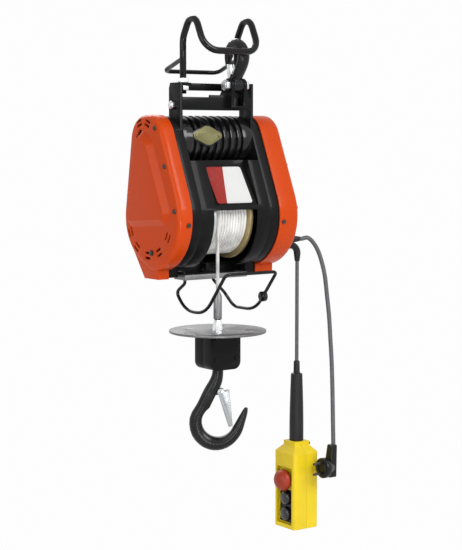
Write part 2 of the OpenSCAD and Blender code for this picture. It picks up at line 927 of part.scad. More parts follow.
first_phase = motor_phase + 180 + 180 / wheel_teeth;
first_pinion_phase = heading(first_c, second_c);
second_phase = first_pinion_phase + 180 + 180 / wheel_teeth;
second_pinion_phase = heading(second_c, lower_c);
drum_phase = second_pinion_phase + 180 + 180 / drum_teeth;

module gear_pins() {
    color("#b5b8bc") {
        rod_x(stage_2[0] - 2, -plate_in, first_c, gear_pin_r);
        rod_x(stage_3[0] - 2, -plate_in, second_c, gear_pin_r);
    }
}

module first_wheel() {
    bore = gear_pin_r + fit;
    color("#9a9da1") {
        gear_x(stage_1, first_c, wheel_teeth, module_1, first_phase, bore);
        gear_x([stage_2[0], stage_1[0]], first_c, pinion_teeth, module_2, first_pinion_phase, bore);
        ring_x(stage_1[1], -plate_out - seat_gap, first_c, gear_pin_r + 4, bore);
    }
}

module second_wheel() {
    bore = gear_pin_r + fit;
    color("#9a9da1") {
        gear_x(stage_2, second_c, wheel_teeth, module_2, second_phase, bore);
        gear_x([stage_3[0], stage_2[0]], second_c, pinion_teeth, module_3, second_pinion_phase, bore);
        ring_x(stage_2[1], -plate_out - seat_gap, second_c, gear_pin_r + 4, bore);
    }
}

module drum_wheel() {
    color("#9a9da1") gear_x(stage_3, lower_c, drum_teeth, module_3, drum_phase, drum_shaft_r + fit / 2);
}

// Drum

module drum_shaft() {
    color("#b5b8bc") {
        rod_x(stage_3[0] - 2, plate_out + 10, lower_c, drum_shaft_r);
        ring_x(seat_gap - plate_in, drum_mid - drum_flange_out, lower_c, drum_shaft_r + 4, drum_shaft_r - 1);
        ring_x(drum_mid + drum_flange_out, plate_in - seat_gap, lower_c, drum_shaft_r + 4, drum_shaft_r - 1);
    }
}

barrel_wall = 8;
hub_wall = 7;
web_half = 4;

module on_drum() {
    translate([drum_mid, 0, 0]) children();
}

// The barrel is a rim and a hub joined by a web; the flanges close its two ends
module drum_barrel() {
    bore = drum_shaft_r + fit / 2;
    color("#7a7d82") on_drum() turned_x(lower_c) {
        translate([barrel_r - barrel_wall, -barrel_half]) square([barrel_wall, 2 * barrel_half]);
        translate([bore, -barrel_half]) square([hub_wall, 2 * barrel_half]);
        translate([bore + 1, -web_half]) square([barrel_r - bore - 2, 2 * web_half]);
    }
}

module left_flange() {
    color("#c4c7cb") on_drum()
        ring_x(-drum_flange_out, -barrel_half, lower_c, drum_flange_r, drum_shaft_r + fit / 2);
}

module right_flange() {
    color("#b99a5c") on_drum()
        ring_x(barrel_half, drum_flange_out, lower_c, drum_flange_r, drum_shaft_r + fit / 2);
}

// The inner layers are one sleeve, and the outer layer stands out of it turn by turn
module rope_coils() {
    outer_r = wound_r - rope_d / 2;
    color("#8b8e92") on_drum() turned_x(lower_c) {
        translate([barrel_r + fit, -rope_turns * rope_d / 2])
            square([outer_r - barrel_r - fit, rope_turns * rope_d]);
        for (i = [0 : rope_turns - 1])
            translate([outer_r, (i - (rope_turns - 1) / 2) * rope_d]) intersection() {
                circle(d = rope_d, $fn = 24);
                translate([0, -rope_d]) square(rope_d * 2);
            }
    }
}

// Hook block

module at_fall() {
    translate([fall_x, fall_y, 0]) children();
}

module rope_fall() {
    color("#8b8e92") at_fall() translate([0, 0, ferrule_top])
        cylinder(h = fall_top - ferrule_top, d = rope_d);
}

ferrule_r = 7.5;

module ferrule() {
    color("#9c9fa3") at_fall() translate([0, 0, ferrule_top - ferrule_l]) rotate_extrude()
        polygon([
            [0, 0], [ferrule_r - 1.5, 0], [ferrule_r, 2], [ferrule_r, ferrule_l - 8],
            [rope_d / 2 + 0.5, ferrule_l], [0, ferrule_l]
        ]);
}

eye_r = 12.5;
eye_t = 10;

module thimble_eye() {
    color("#d5d8dc") at_fall() difference() {
        union() {
            rod_y(-eye_t / 2, eye_t / 2, 0, eye_pin_z, eye_r);
            translate([0, eye_t / 2, 0]) rotate([90, 0, 0]) linear_extrude(eye_t)
                polygon([
                    [1 - eye_r, eye_pin_z], [eye_r - 1, eye_pin_z], [5, ferrule_top - ferrule_l],
                    [-5, ferrule_top - ferrule_l]
                ]);
        }
        rod_y(-eye_t, eye_t, 0, eye_pin_z, eye_pin_r + fit);
    }
}

module eye_pin() {
    color("#b9bcc0") at_fall() rod_y(-block_d / 2 + 3, block_d / 2 - 3, 0, eye_pin_z, eye_pin_r);
}

slot_half = eye_r + 1;
slot_depth = eye_t / 2 + 1;

module limit_disc() {
    color("#a3a6aa") at_fall() difference() {
        translate([0, 0, block_top]) cylinder(h = disc_t, r = disc_r, $fn = 96);
        box([-slot_half, slot_half], [-slot_depth, slot_depth], [block_top - 1, disc_z + 1]);
        for (a = [45 : 90 : 315])
            rotate(a) translate([disc_r * 0.62, 0, block_top - 1]) cylinder(h = disc_t + 2, r = 4);
    }
}

block_round = 14;
nut_space_r = 18;
floor_t = 10;

module block_solid() {
    rotate([90, 0, 0]) translate([0, 0, -block_d / 2]) linear_extrude(block_d) {
        translate([-block_w / 2, block_z + block_round]) square([block_w, block_h - block_round]);
        translate([-block_w / 2 + block_round, block_z]) square([block_w - 2 * block_round, block_round + 1]);
        for (s = [-1, 1])
            translate([s * (block_w / 2 - block_round), block_z + block_round]) circle(r = block_round);
    }
}

module block_half(side) {
    difference() {
        intersection() {
            block_solid();
            box([-block_w, block_w], side > 0 ? [0, block_d] : [-block_d, 0], [block_z - 1, block_top]);
        }
        box([-slot_half, slot_half], [-slot_depth, slot_depth], [eye_pin_z - eye_r - 1, block_top + 1]);
        rod_y(-block_d / 2 + 3, block_d / 2 - 3, 0, eye_pin_z, eye_pin_r + fit);
        translate([0, 0, block_z + floor_t]) cylinder(h = hook_nut_h + 1, r = nut_space_r);
        translate([0, 0, block_z - 1]) cylinder(h = floor_t + 2, r = shank_r + fit);
    }
}

module block_front() {
    color("#1f2023") at_fall() {
        block_half(-1);
        for (x = [-22, 22], z = [block_z + 20, block_top - 10])
            rod_y(-block_d / 2 - 2.5, -block_d / 2 + 1, x, z, 4, $fn = 6);
    }
}

module block_rear() {
    color("#1f2023") at_fall() block_half(1);
}

hook_nut_h = 22;

// Load hook: neck, leaning back, bowl and slim tip
load_stations = [
    [0, bowl_drop + 8, shank_r - 0.4, shank_r - 0.4], [0, 86, shank_r, shank_r], [-4, 70, 11.5, 11],
    [-14, 52, 12, 11.5], [-26, 27, 12, 11.5], [-37, 4, 13.5, 12], [-34, -20, 13.5, 12.5],
    [-19, -36, 13, 12.5], [0, -40, 12.5, 12.5], [18, -33.5, 11.5, 12], [33, -18, 10, 10.5],
    [42, 2, 7.5, 8.5], [48.5, 18, 5, 6], [51, 25, 2.5, 3.5]
];
load_pivot = [6, 53];
load_pin_r = 2.5;
load_ear_half = 6;
latch_t = 2;
land_half = 6;
saddle_r = 18;
saddle_c = saddle_r - bowl_r;

module at_bowl() {
    translate([fall_x, fall_y, bowl_c[1]]) rotate([0, 0, hook_turn]) children();
}

// The saddle at the bottom of the bowl is a narrow land that stands a little proud of the forging
module load_hook() {
    color("#1d1e20") at_bowl() difference() {
        union() {
            difference() {
                forged(load_stations, 16);
                rod_y(-40, 40, 0, 0, bowl_r + run_gap);
            }
            translate([0, 0, bowl_drop]) cylinder(h = floor_t + hook_nut_h - 0.5, r = shank_r);
            translate([0, 0, bowl_drop + floor_t]) cylinder(h = hook_nut_h - 0.5, r = nut_space_r - 1);
            intersection() {
                rod_y(-land_half, land_half, 0, saddle_c, saddle_r + 8);
                box([-bowl_r * 2, bowl_r * 2], [-20, 20], [-bowl_r * 2, saddle_c - saddle_r / 2]);
            }
            rod_y(-load_ear_half, load_ear_half, load_pivot[0], load_pivot[1], 5);
            box([-8, load_pivot[0]], [-load_ear_half, load_ear_half], [load_pivot[1] - 5, load_pivot[1] + 5]);
        }
        rod_y(-40, 40, 0, saddle_c, saddle_r);
        rod_y(-40, 40, load_pivot[0], load_pivot[1], load_pin_r + fit);
    }
}

// Bent sheet latch: two cheeks on a pin, joined along the side that faces out of the mouth by a web
module latch(pivot, end, side, eye, head, tip, ear_half, pin_r) {
    inside = ear_half + run_gap;
    wide = inside + latch_t;
    way = unit(end - pivot);
    off = side * [way[1], -way[0]];
    start = pivot + way * (eye + 2);
    edge = head + (tip - head) * (eye + 2) / norm(end - pivot);
    rotate([90, 0, 0]) difference() {
        translate([0, 0, -wide]) linear_extrude(2 * wide) {
            translate(pivot) circle(r = eye);
            polygon([pivot + off * head, end + off * tip, end - off * tip, pivot - off * (eye - 0.6)]);
        }
        translate([0, 0, -inside]) linear_extrude(2 * inside)
            polygon([
                pivot - way * eye * 2 + off * head * 2, start + off * head * 2,
                start + off * (edge - latch_t), end + way * 2 + off * (tip - latch_t),
                end + way * 2 - off * tip * 2, pivot - way * eye * 2 - off * eye * 2
            ]);
    }
    rod_y(-wide - 0.6, wide + 0.6, pivot[0], pivot[1], pin_r);
}

load_latch_end = [22.8, -8];

module load_latch() {
    color("#c9ccd0") at_bowl() latch(load_pivot, load_latch_end, -1, 6.5, 15, 3.8, load_ear_half, load_pin_r);
}

// Top hook: eye on the clevis bolt, back to the front, mouth to the rear
top_stations = [
    [0, -seat_rise, 9, hook_half], [-2, -38, 8.5, hook_half], [-11, -26, 9, 11], [-20.5, -11, 9.5, 11.5],
    [-23.5, 4, 9.5, 11.5], [-16, 18, 9.5, 11], [0, 23.5, 10, 11], [13.5, 17.5, 8, 10], [20.5, 5, 6.5, 8.5],
    [22.5, -8, 4.5, 6.5], [23, -17, 2.5, 4]
];
top_pivot = [12, -33];
top_pin_r = 2;
top_ear_half = 4;
top_latch_end = [16, -12];

module at_seat() {
    translate([hook_x, hook_y, bowl_z]) rotate([0, 0, 90]) children();
}

module top_hook() {
    color("#1d1e20") at_seat() difference() {
        union() {
            forged(top_stations, 16);
            intersection() {
                rod_y(-land_half + 1, land_half - 1, 0, 0, seat_r + 4);
                box([-seat_r * 2, seat_r * 2], [-20, 20], [0, seat_r * 2]);
            }
            rod_y(-hook_half, hook_half, 0, -seat_rise, clevis_r - 1);
            rod_y(-top_ear_half, top_ear_half, top_pivot[0], top_pivot[1], 4);
            box([0, top_pivot[0]], [-top_ear_half, top_ear_half], [top_pivot[1] - 4, top_pivot[1] + 4]);
        }
        rod_y(-40, 40, 0, 0, seat_r);
        rod_y(-40, 40, 0, -seat_rise, clevis_bolt_r + fit);
        rod_y(-40, 40, top_pivot[0], top_pivot[1], top_pin_r + fit);
    }
}

module top_latch() {
    color("#c9ccd0") at_seat() latch(top_pivot, top_latch_end, 1, 4, 3.6, 2.4, top_ear_half, top_pin_r);
}

// Limit bail: one wire with a loop on each side of the rope, lifted by the disc

bail_path = bent(
    [
        [-plate_in + 3, bail_pivot[0], bail_pivot[1]], [-bail_half, bail_pivot[0], bail_pivot[1]],
        [-bail_half, bail_pivot[0] - 4, -118], [-bail_half, 16, -136], [-bail_half, -12, -bail_drop],
        [-bail_half, -74, -bail_drop], [-bail_half, -bail_front, bail_pivot[1]],
        [bail_half, -bail_front, bail_pivot[1]], [bail_half, -74, -bail_drop], [bail_half, -8, -bail_drop],
        [42, 2, -142], [8, bail_pivot[0], -114], [8, bail_pivot[0], bail_pivot[1]],
        [lug_x[1] + 1, bail_pivot[0], bail_pivot[1]]
    ],
    [6, 7, 8, 56, 56, 8, 8, 56, 16, 12, 10, 6], 5
);
weight_at = [bail_half, -96, -141];

module limit_bail() {
    color("#17181a") {
        tube(bail_path, bail_r, 10);
        rod_x(-plate_out - 8, -plate_in + 6, bail_pivot, bail_pin_r);
        rod_x(lug_x[0] - 3, lug_x[1] + 4, bail_pivot, bail_pin_r);
        translate(weight_at) rotate([0, 90, 0]) translate([0, 0, -4]) cylinder(h = 8, r = 9);
        box([-plate_out - 7, -plate_out - 3], [bail_pivot[0] - 2.5, bail_pivot[0] + 2.5],
            [bail_pivot[1], bail_pivot[1] + 11]);
    }
}

// Electrics under the right cover, and the limit switch beside the bail's crank

module capacitor() {
    color("#b8bbbf") translate([plate_out + 14 + seat_gap, 38, -30]) cylinder(h = 70, r = 14);
}

module contactor() {
    color("#3a3c40") {
        box([plate_out, plate_out + 34], [-44, 16], [24, 78]);
        box([plate_out + 33, plate_out + 40], [-40, 12], [34, 68]);
    }
}

switch_z = foot_z + frame_step + rim_wall + 3;

module limit_switch() {
    color("#2e5f9e") box([-plate_out - 12, -plate_out], [bail_pivot[0] + 6, bail_pivot[0] + 28],
        [switch_z, switch_z + 16]);
}

// Cable entries, cables, plug

module power_gland() {
    color("#1b1c1e") {
        rod_x(right_face - cover_wall, right_face, power_gland, gland_r);
        rod_x(right_face, right_face + 6, power_gland, gland_r + 4, $fn = 6);
        translate([right_face + 6, power_gland[0], power_gland[1]]) rotate([0, 90, 0])
            cylinder(h = power_gland_l - 6, r1 = gland_r, r2 = cord_r + 1.5);
    }
}

module pendant_elbow() {
    x = pendant_c[0];
    color("#1b1c1e") {
        rod_x(right_face - cover_wall, right_face, elbow, gland_r);
        rod_x(right_face, right_face + 6, elbow, gland_r + 4, $fn = 6);
        rod_x(right_face + 6, x, elbow, gland_r);
        translate([x, elbow[0], elbow[1]]) sphere(r = gland_r);
        translate([x, elbow[0], elbow[1] - elbow_drop])
            cylinder(h = elbow_drop, r1 = pendant_cable_r + 1.5, r2 = gland_r);
    }
}

module power_cord() {
    color("#2a2b2d") tube(smooth(power_route, 2), cord_r, 10);
}

plug_r = 19;
plug_t = 24;
cord_end = power_route[len(power_route) - 1];

module plug() {
    color("#1d1e20") {
        translate([plug_c[0] - plug_t / 2, plug_c[1], plug_c[2]]) rotate([0, 90, 0])
            cylinder(h = plug_t, r = plug_r);
        hull() {
            translate([cord_end[0], plug_c[1], cord_end[2] - run_gap - 1])
                cylinder(h = 1, r = cord_r + 2, $fn = 24);
            translate([plug_c[0] + 4, plug_c[1], plug_c[2]]) cube([14, 22, 20], center = true);
        }
    }
}

module plug_pins() {
    color("#cfd2d6") for (s = [-1, 1])
        rod_x(plug_c[0] - plug_t / 2 - plug_pin_l, plug_c[0] - plug_t / 2,
              [plug_c[1], plug_c[2] + s * plug_pitch / 2], plug_pin_r);
}

module at_pendant() {
    translate([pendant_c[0], pendant_c[1], 0]) children();
}

module pendant_cable() {
    color("#77797c") at_pendant() translate([0, 0, sleeve_top])
        cylinder(h = elbow[1] - elbow_drop - sleeve_top, r = pendant_cable_r);
}

module pendant_boot() {
    color("#1b1c1e") at_pendant() translate([0, 0, pendant_top]) rotate_extrude()
        polygon([
            [0, 0], [13, 0], [12, 8], [9, sleeve_top - 22 - pendant_top], [5, sleeve_top - 20 - pendant_top],
            [5, sleeve_top - pendant_top], [0, sleeve_top - pendant_top]
        ]);
}

neck_half = 17;
corner_r = 7;

module shouldered(half) {
    polygon([
        [-half, pendant_bottom], [half, pendant_bottom], [half, shoulder_z],
        [neck_half, shoulder_z + 14], [neck_half, pendant_top],
        [-neck_half, pendant_top], [-neck_half, shoulder_z + 14], [-half, shoulder_z]
    ]);
}

module rounded_plan() {
    x = pendant_d / 2 - corner_r;
    y = pendant_w / 2 - corner_r;
    square([2 * x, pendant_w], center = true);
    square([pendant_d, 2 * y], center = true);
    for (i = [-1, 1], k = [-1, 1]) translate([i * x, k * y]) circle(r = corner_r);
}

module pendant_solid() {
    intersection() {
        translate([0, pendant_w, 0]) rotate([90, 0, 0])
            linear_extrude(2 * pendant_w) shouldered(pendant_d / 2);
        along_x(-pendant_d, pendant_d) shouldered(pendant_w / 2);
        translate([0, 0, pendant_bottom]) linear_extrude(pendant_h) rounded_plan();
    }
}

face_x = -pendant_d / 2;
recess = 8;
recess_half = stop_r + 2;
recess_floor = face_x + recess;
cavity_y = pendant_w / 2 - pendant_wall;

module pendant_half(side) {
    difference() {
        intersection() {
            pendant_solid();
            box(side > 0 ? [0, pendant_d] : [-pendant_d, 0], [-pendant_w, pendant_w],
                [pendant_bottom - 1, pendant_top]);
        }
        box([recess_floor + pendant_wall, pendant_d / 2 - pendant_wall], [-cavity_y, cavity_y],
            [pendant_bottom + pendant_wall, shoulder_z]);
        box([face_x - 1, recess_floor], [-recess_half, recess_half],
            [pendant_bottom + 8, stop_z + stop_r + 4]);
        for (z = key_z) rod_x(face_x, 0, [0, z], key_r + run_gap);
        rod_x(face_x, 1, [0, stop_z], stop_stem_r + fit);
    }
}

stop_stem_r = 6;
recess_under = -2.5;

module pendant_front() {
    color("#f0b323") at_pendant() pendant_half(-1);
}

module pendant_back() {
    color("#f0b323") at_pendant() {
        pendant_half(1);
        for (y = [-15, 15], z = [pendant_bottom + 10, shoulder_z - 8])
            rod_x(pendant_d / 2 - 1, pendant_d / 2 + 2, [y, z], 3.5);
    }
}

key_back = -11;
key_front = face_x + 2.5;
stop_neck = -face_x + recess_under;

module pendant_contacts() {
    rear = pendant_d / 2 - pendant_wall;
    color("#4a4c50") at_pendant() {
        for (z = key_z) box([key_back + key_travel + run_gap, rear], [-15, 15], [z - 11, z + 11]);
        box([key_back + stop_travel + run_gap, rear], [-15, 15], [stop_z - 12, stop_z + 12]);
    }
}

module stop_button() {
    color("#c8201c") at_pendant() {
        rod_x(face_x - 2, key_back, [0, stop_z], stop_stem_r);
        translate([-stop_neck, 0, stop_z]) rotate([0, -90, 0]) rotate_extrude()
            polygon([
                [0, 0], [stop_r - 2, 0], [stop_r, 2], [stop_r, 9],
                [stop_r - 3, 14], [stop_r - 10, 18], [0, 20]
            ]);
    }
}

module key(z) {
    color("#1b1c1e") at_pendant() {
        rod_x(key_front, key_back, [0, z], key_r);
        rod_x(recess_floor + pendant_wall + run_gap, key_back, [0, z], key_r + 1.4);
        translate([key_front, 0, z]) rotate([0, -90, 0]) rotate_extrude()
            polygon([[0, 0], [key_r, 0], [key_r - 1, 2.2], [key_r - 4, 4], [key_r - 8, 5], [0, 5.4]]);
    }
}

module lift_button() {
    key(key_z[0]);
}

module lower_button() {
    key(key_z[1]);
}

hung() left_side_frame();
hung() right_side_frame();
hung() left_cover();
hung() right_cover();
hung() cover_screws();
hung() drum_guard();
hung() rear_guard();
hung() tie_rods();
hung() base_channel();
hung() guide_bar();
hung() top_beam();
hung() hanger();
hung() hanger_nuts();
hung() top_bolts();
hung() motor_housing();
hung() stator();
hung() brush_caps();
hung() bearings();
hung() gear_pins();
hung() brake_coil();
hung() capacitor();
hung() contactor();
hung() limit_switch();
hung() power_gland();
hung() pendant_elbow();
hung() power_cord();
hung() plug();
hung() plug_pins();
hung() pendant_cable();
hung() pendant_boot();
hung() pendant_front();
hung() pendant_back();
hung() pendant_contacts();
hung() armature();
hung() motor_shaft();
hung() motor_fan();
hung() brake_disc();
hung() first_wheel();
hung() second_wheel();
hung() drum_barrel();
hung() left_flange();
hung() right_flange();
hung() rope_coils();
hung() drum_shaft();
hung() drum_wheel();
hung() rope_fall();
hung() ferrule();
hung() thimble_eye();
hung() eye_pin();
hung() limit_disc();
hung() block_front();
hung() block_rear();
hung() load_hook();
hung() load_latch();
hung() top_hook();
hung() top_latch();
hung() limit_bail();
hung() stop_button();
hung() lift_button();
hung() lower_button();
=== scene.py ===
# %% [markdown]
# # An electric wire rope hoist, dressed piece by piece
# The CAD model brings the true sizes and the joints, so the first thing is to load it. Everything below
# is in metres, in the CAD's own frame: the origin is the axis of the top hook's seat, +X runs along the
# drum, -Y is the front and +Z is up. Sizes on a drawing of this hoist are easier to read when they start
# at the drum's axis, so one small function turns millimetres from the drum's axis into a point of the
# frame.

# %% Load the frame
import json
import math

import bpy
from mathutils import Matrix, Vector

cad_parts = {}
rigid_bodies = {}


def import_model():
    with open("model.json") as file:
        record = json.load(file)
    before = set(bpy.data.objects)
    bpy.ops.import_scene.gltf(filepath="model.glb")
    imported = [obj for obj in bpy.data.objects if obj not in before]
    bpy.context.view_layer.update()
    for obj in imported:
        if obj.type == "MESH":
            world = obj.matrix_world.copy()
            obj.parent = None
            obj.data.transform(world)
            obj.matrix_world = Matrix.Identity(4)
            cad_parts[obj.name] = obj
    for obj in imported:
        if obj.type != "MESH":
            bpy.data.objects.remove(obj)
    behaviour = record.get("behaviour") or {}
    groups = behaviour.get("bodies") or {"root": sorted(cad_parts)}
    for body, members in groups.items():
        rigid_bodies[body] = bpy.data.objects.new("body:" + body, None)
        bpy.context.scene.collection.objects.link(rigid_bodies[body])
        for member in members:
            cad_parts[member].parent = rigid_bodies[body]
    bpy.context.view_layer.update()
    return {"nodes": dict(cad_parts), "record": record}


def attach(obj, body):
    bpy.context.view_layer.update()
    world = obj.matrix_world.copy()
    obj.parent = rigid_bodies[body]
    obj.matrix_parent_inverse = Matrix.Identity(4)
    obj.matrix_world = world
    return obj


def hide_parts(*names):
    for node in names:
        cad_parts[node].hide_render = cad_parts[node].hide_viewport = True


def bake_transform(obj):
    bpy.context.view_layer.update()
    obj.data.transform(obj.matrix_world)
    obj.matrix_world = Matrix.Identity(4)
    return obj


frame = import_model()
MM = 0.001
HOOK_SEAT = (35, -41, 282)


def at(x, y, z):
    """A point given in millimetres from the drum's axis, as metres in the frame."""
    return Vector([(value - origin) / 1000 for value, origin in zip((x, y, z), HOOK_SEAT)])


# %% [markdown]
# The camera stands to the front left, a little above the middle, about 2.7 m away with a long lens, which
# is what the nearly parallel edges of the photograph ask for. Long lens and distance go together: the
# same framing from nearer by would spread the covers apart.

# %% Camera
TURN, DIP = math.radians(36), math.radians(5.3)
CAMERA_PLACE = at(-1550.1, -2208.6, 143.2)
LENS, SENSOR, FARTHEST = 98.2, 36, 60
look = Vector((math.sin(TURN) * math.cos(DIP), math.cos(TURN) * math.cos(DIP), -math.sin(DIP)))
bpy.ops.object.select_all(action="DESELECT")
bpy.ops.object.camera_add(location=CAMERA_PLACE)
camera = bpy.context.active_object
camera.rotation_euler = look.to_track_quat("-Z", "Y").to_euler()
camera.data.lens = LENS
camera.data.sensor_width = SENSOR
camera.data.clip_end = FARTHEST
bpy.context.scene.camera = camera
print("camera at", [round(v, 3) for v in camera.location])

# %% [markdown]
# The light is a plain white studio: one broad lamp from the front, a weaker one from the left, one behind
# for the rims, a small low one that draws glints along fins and hook, and a pale world that fills the
# shadows. Every lamp is a soft rectangle that looks at the drum, so one table of places, sizes and watts
# describes them all.

# %% Studio
scene = bpy.context.scene
scene.view_settings.view_transform = "Standard"
DRUM_MIDDLE = at(0, 0, 0)
LAMPS = (
    ("key_lamp", (0.7, -3.0, 1.5), (1.8, 1.8), 105),
    ("fill_lamp", (-2.8, -1.0, 0.5), (1.6, 2.0), 34),
    ("rim_lamp", (0.6, 2.4, 1.6), (2.0, 1.2), 45),
    ("low_lamp", (-1.3, -2.3, -0.75), (0.5, 0.5), 13),
)
for name, place, size, watts in LAMPS:
    bpy.ops.object.select_all(action="DESELECT")
    bpy.ops.object.light_add(type="AREA", location=place)
    lamp = bpy.context.active_object
    lamp.name = name
    lamp.data.shape = "RECTANGLE"
    lamp.data.size, lamp.data.size_y = size
    lamp.data.energy = watts
    lamp.rotation_euler = (DRUM_MIDDLE - Vector(place)).to_track_quat("-Z", "Y").to_euler()
print("lamps:", len(LAMPS))

# %% [markdown]
# Shader sums are easier to read as Python than as a web of nodes. `Wire` stands for one socket, and its
# operators add Math nodes.

# %% Wires
class Wire:
    """One output socket of a finish, with the usual sums."""

    def __init__(self, finish, socket):
        self.finish, self.socket = finish, socket

    def sum(self, operation, other):
        return self.finish.add("ShaderNodeMath", {"operation": operation}, [self, other])

    def __add__(self, other):
        return self.sum("ADD", other)

    def __sub__(self, other):
        return self.sum("SUBTRACT", other)

    def __mul__(self, other):
        return self.sum("MULTIPLY", other)


print("made", Wire.__name__)

# %% [markdown]
# `Finish` holds one material. Its `add` method makes any node from its type, its settings and what goes
# into its sockets, and the other methods are the few nodes that every finish here is mixed from: noise, a
# soft step between two levels, a mix of two colours and a relief that dents the surface.

# %% Finishes
class Finish:
    """A material with one Principled shader, and what feeds it."""

    def __init__(self, name, **constants):
        self.material = bpy.data.materials.new(name)
        self.material.use_nodes = True
        self.tree = self.material.node_tree
        self.shader = next(n for n in self.tree.nodes if n.type == "BSDF_PRINCIPLED")
        for socket, value in constants.items():
            self.feed(socket.replace("_", " "), value)
        self.place = self.add("ShaderNodeTexCoord", out="Object")

    def add(self, kind, settings=None, sockets=(), out=0):
        node = self.tree.nodes.new(kind)
        for key, value in (settings or {}).items():
            setattr(node, key, value)
        for key, value in sockets.items() if isinstance(sockets, dict) else enumerate(sockets):
            self.join(node.inputs[key], value)
        return Wire(self, node.outputs[out])

    def join(self, socket, value):
        if isinstance(value, Wire):
            self.tree.links.new(value.socket, socket)
        else:
            socket.default_value = value

    def feed(self, socket, value):
        self.join(self.shader.inputs[socket], value)

    def noise(self, scale, detail, stretch=(1, 1, 1)):
        spot = self.add("ShaderNodeMapping", {}, {"Vector": self.place, "Scale": stretch})
        return self.add("ShaderNodeTexNoise", {}, {"Vector": spot, "Scale": scale, "Detail": detail})

    def levels(self, value, low, high):
        soft = {"interpolation_type": "SMOOTHSTEP"}
        return self.add("ShaderNodeMapRange", soft, {0: value, 1: low, 2: high})

    def mix(self, share, one, other):
        return self.add("ShaderNodeMix", {"data_type": "RGBA"}, {0: share, 6: one, 7: other}, out=2)

    def relief(self, height, depth):
        return self.add("ShaderNodeBump", {}, {"Height": height, "Distance": depth, "Strength": 1.0})

    def axes(self):
        split = self.add("ShaderNodeSeparateXYZ", {}, [self.place])
        return [Wire(self, s) for s in split.socket.node.outputs]


def shade(colour, by):
    """A colour made darker or lighter by a factor, with alpha."""
    return tuple(min(1.0, c * by) for c in colour) + (1.0,)


print("finishes ready, half of white is", shade((1, 1, 1), 0.5))

# %% [markdown]
# Floor and world are the studio's own surfaces; the floor lies a little below the hanging pendant. Both
# are white where the camera, a mirror or glass looks at them, because of their own colours, so that no
# lamp has to be turned up for it.

# %% Floor
WHITE, FLOOR_Z, FLOOR_SIZE = 0.985, -1.02, 30
MIRROR_SHARE = 0.8
bpy.ops.object.select_all(action="DESELECT")
bpy.ops.mesh.primitive_plane_add(size=FLOOR_SIZE, location=(0, 0, FLOOR_Z))
floor = bpy.context.active_object
floor.name = "studio_floor"
paper = Finish("studio_paper", Roughness=0.9, Base_Color=(0.86, 0.86, 0.86, 1))
seen = paper.add("ShaderNodeLightPath", out="Is Camera Ray")
mirrored = paper.add("ShaderNodeLightPath", out="Is Glossy Ray")
through = paper.add("ShaderNodeLightPath", out="Is Transmission Ray")
glow = paper.add("ShaderNodeEmission", {}, {"Color": (1, 1, 1, 1), "Strength": WHITE})
share = seen + mirrored * MIRROR_SHARE + through * MIRROR_SHARE
share.socket.node.use_clamp = True
paper_out = next(n for n in paper.tree.nodes if n.type == "OUTPUT_MATERIAL")
plain = Wire(paper, paper.shader.outputs[0])
blend_out = paper.add("ShaderNodeMixShader", {}, {0: share, 1: plain, 2: glow})
paper.join(paper_out.inputs["Surface"], blend_out)
floor.data.materials.append(paper.material)
print("floor at", FLOOR_Z, "m")

# %% [markdown]
# The world lights the shadows at half strength and shows itself in white. A light path tells which kind
# of ray asks.

# %% World
SHADOW_FILL = 0.5
world = scene.world or bpy.data.worlds.new("studio_world")
scene.world = world
world.use_nodes = True
sky = world.node_tree
sky.nodes.clear()
sky_out = sky.nodes.new("ShaderNodeOutputWorld")
sky_glow = sky.nodes.new("ShaderNodeBackground")
sky_path = sky.nodes.new("ShaderNodeLightPath")
sky_sum = sky_path.outputs["Is Camera Ray"]
for ray in ("Is Glossy Ray", "Is Transmission Ray"):
    joined = sky.nodes.new("ShaderNodeMath")
    sky.links.new(sky_sum, joined.inputs[0])
    sky.links.new(sky_path.outputs[ray], joined.inputs[1])
    sky_sum = joined.outputs[0]
sky_level = sky.nodes.new("ShaderNodeMapRange")
sky_level.inputs["To Min"].default_value = SHADOW_FILL
sky_level.inputs["To Max"].default_value = WHITE
sky.links.new(sky_sum, sky_level.inputs["Value"])
sky.links.new(sky_level.outputs[0], sky_glow.inputs["Strength"])
sky.links.new(sky_glow.outputs[0], sky_out.inputs["Surface"])
sky_glow.inputs["Color"].default_value = (1, 1, 1, 1)
print("world nodes:", len(sky.nodes))

# %% [markdown]
# Enamel on sheet metal is never one flat colour: it has a faint orange-peel skin, soft drifts in tone and
# a few tiny specks of dirt. The same recipe gives the orange covers, the black frames and the glossier
# black of the bent rods.

# %% Enamels
def enamel(name, colour, rough, peel, drift, specks, shine, coat=0.0):
    paint = Finish(name, Specular_IOR_Level=shine, Coat_Weight=coat, Coat_Roughness=0.07)
    broad = paint.noise(scale=14, detail=4)
    fine = paint.noise(scale=700, detail=2)
    dirt = paint.levels(paint.noise(scale=220, detail=2), low=0.66, high=0.74) * specks
    tone = paint.mix(broad, shade(colour, 1 - drift), shade(colour, 1 + drift))
    paint.feed("Base Color", paint.mix(dirt, tone, shade(colour, 0.45)))
    paint.feed("Roughness", broad * 0.12 + dirt * 0.25 + (rough - 0.06))
    paint.feed("Normal", paint.relief(fine, depth=peel))
    return paint.material


ORANGE = (0.43, 0.042, 0.002)
INK = (0.004, 0.004, 0.0045)
orange_paint = enamel("orange_enamel", ORANGE, rough=0.34, peel=0.00008, drift=0.05, specks=0.10, shine=0.08,
                      coat=0.11)
black_paint = enamel("black_enamel", INK, rough=0.42, peel=0.00010, drift=0.18, specks=0.2, shine=0.07,
                     coat=0.08)
gloss_black = enamel("gloss_black", INK, rough=0.15, peel=0.00004, drift=0.18, specks=0.2, shine=0.22)
print("enamels:", orange_paint.name, black_paint.name, gloss_black.name)

# %% [markdown]
# Hooks are forged and oiled: black scale with grey clouds and a slightly lumpy skin. The motor's housing
# is a casting under black paint, so its skin is finer and its gloss higher.

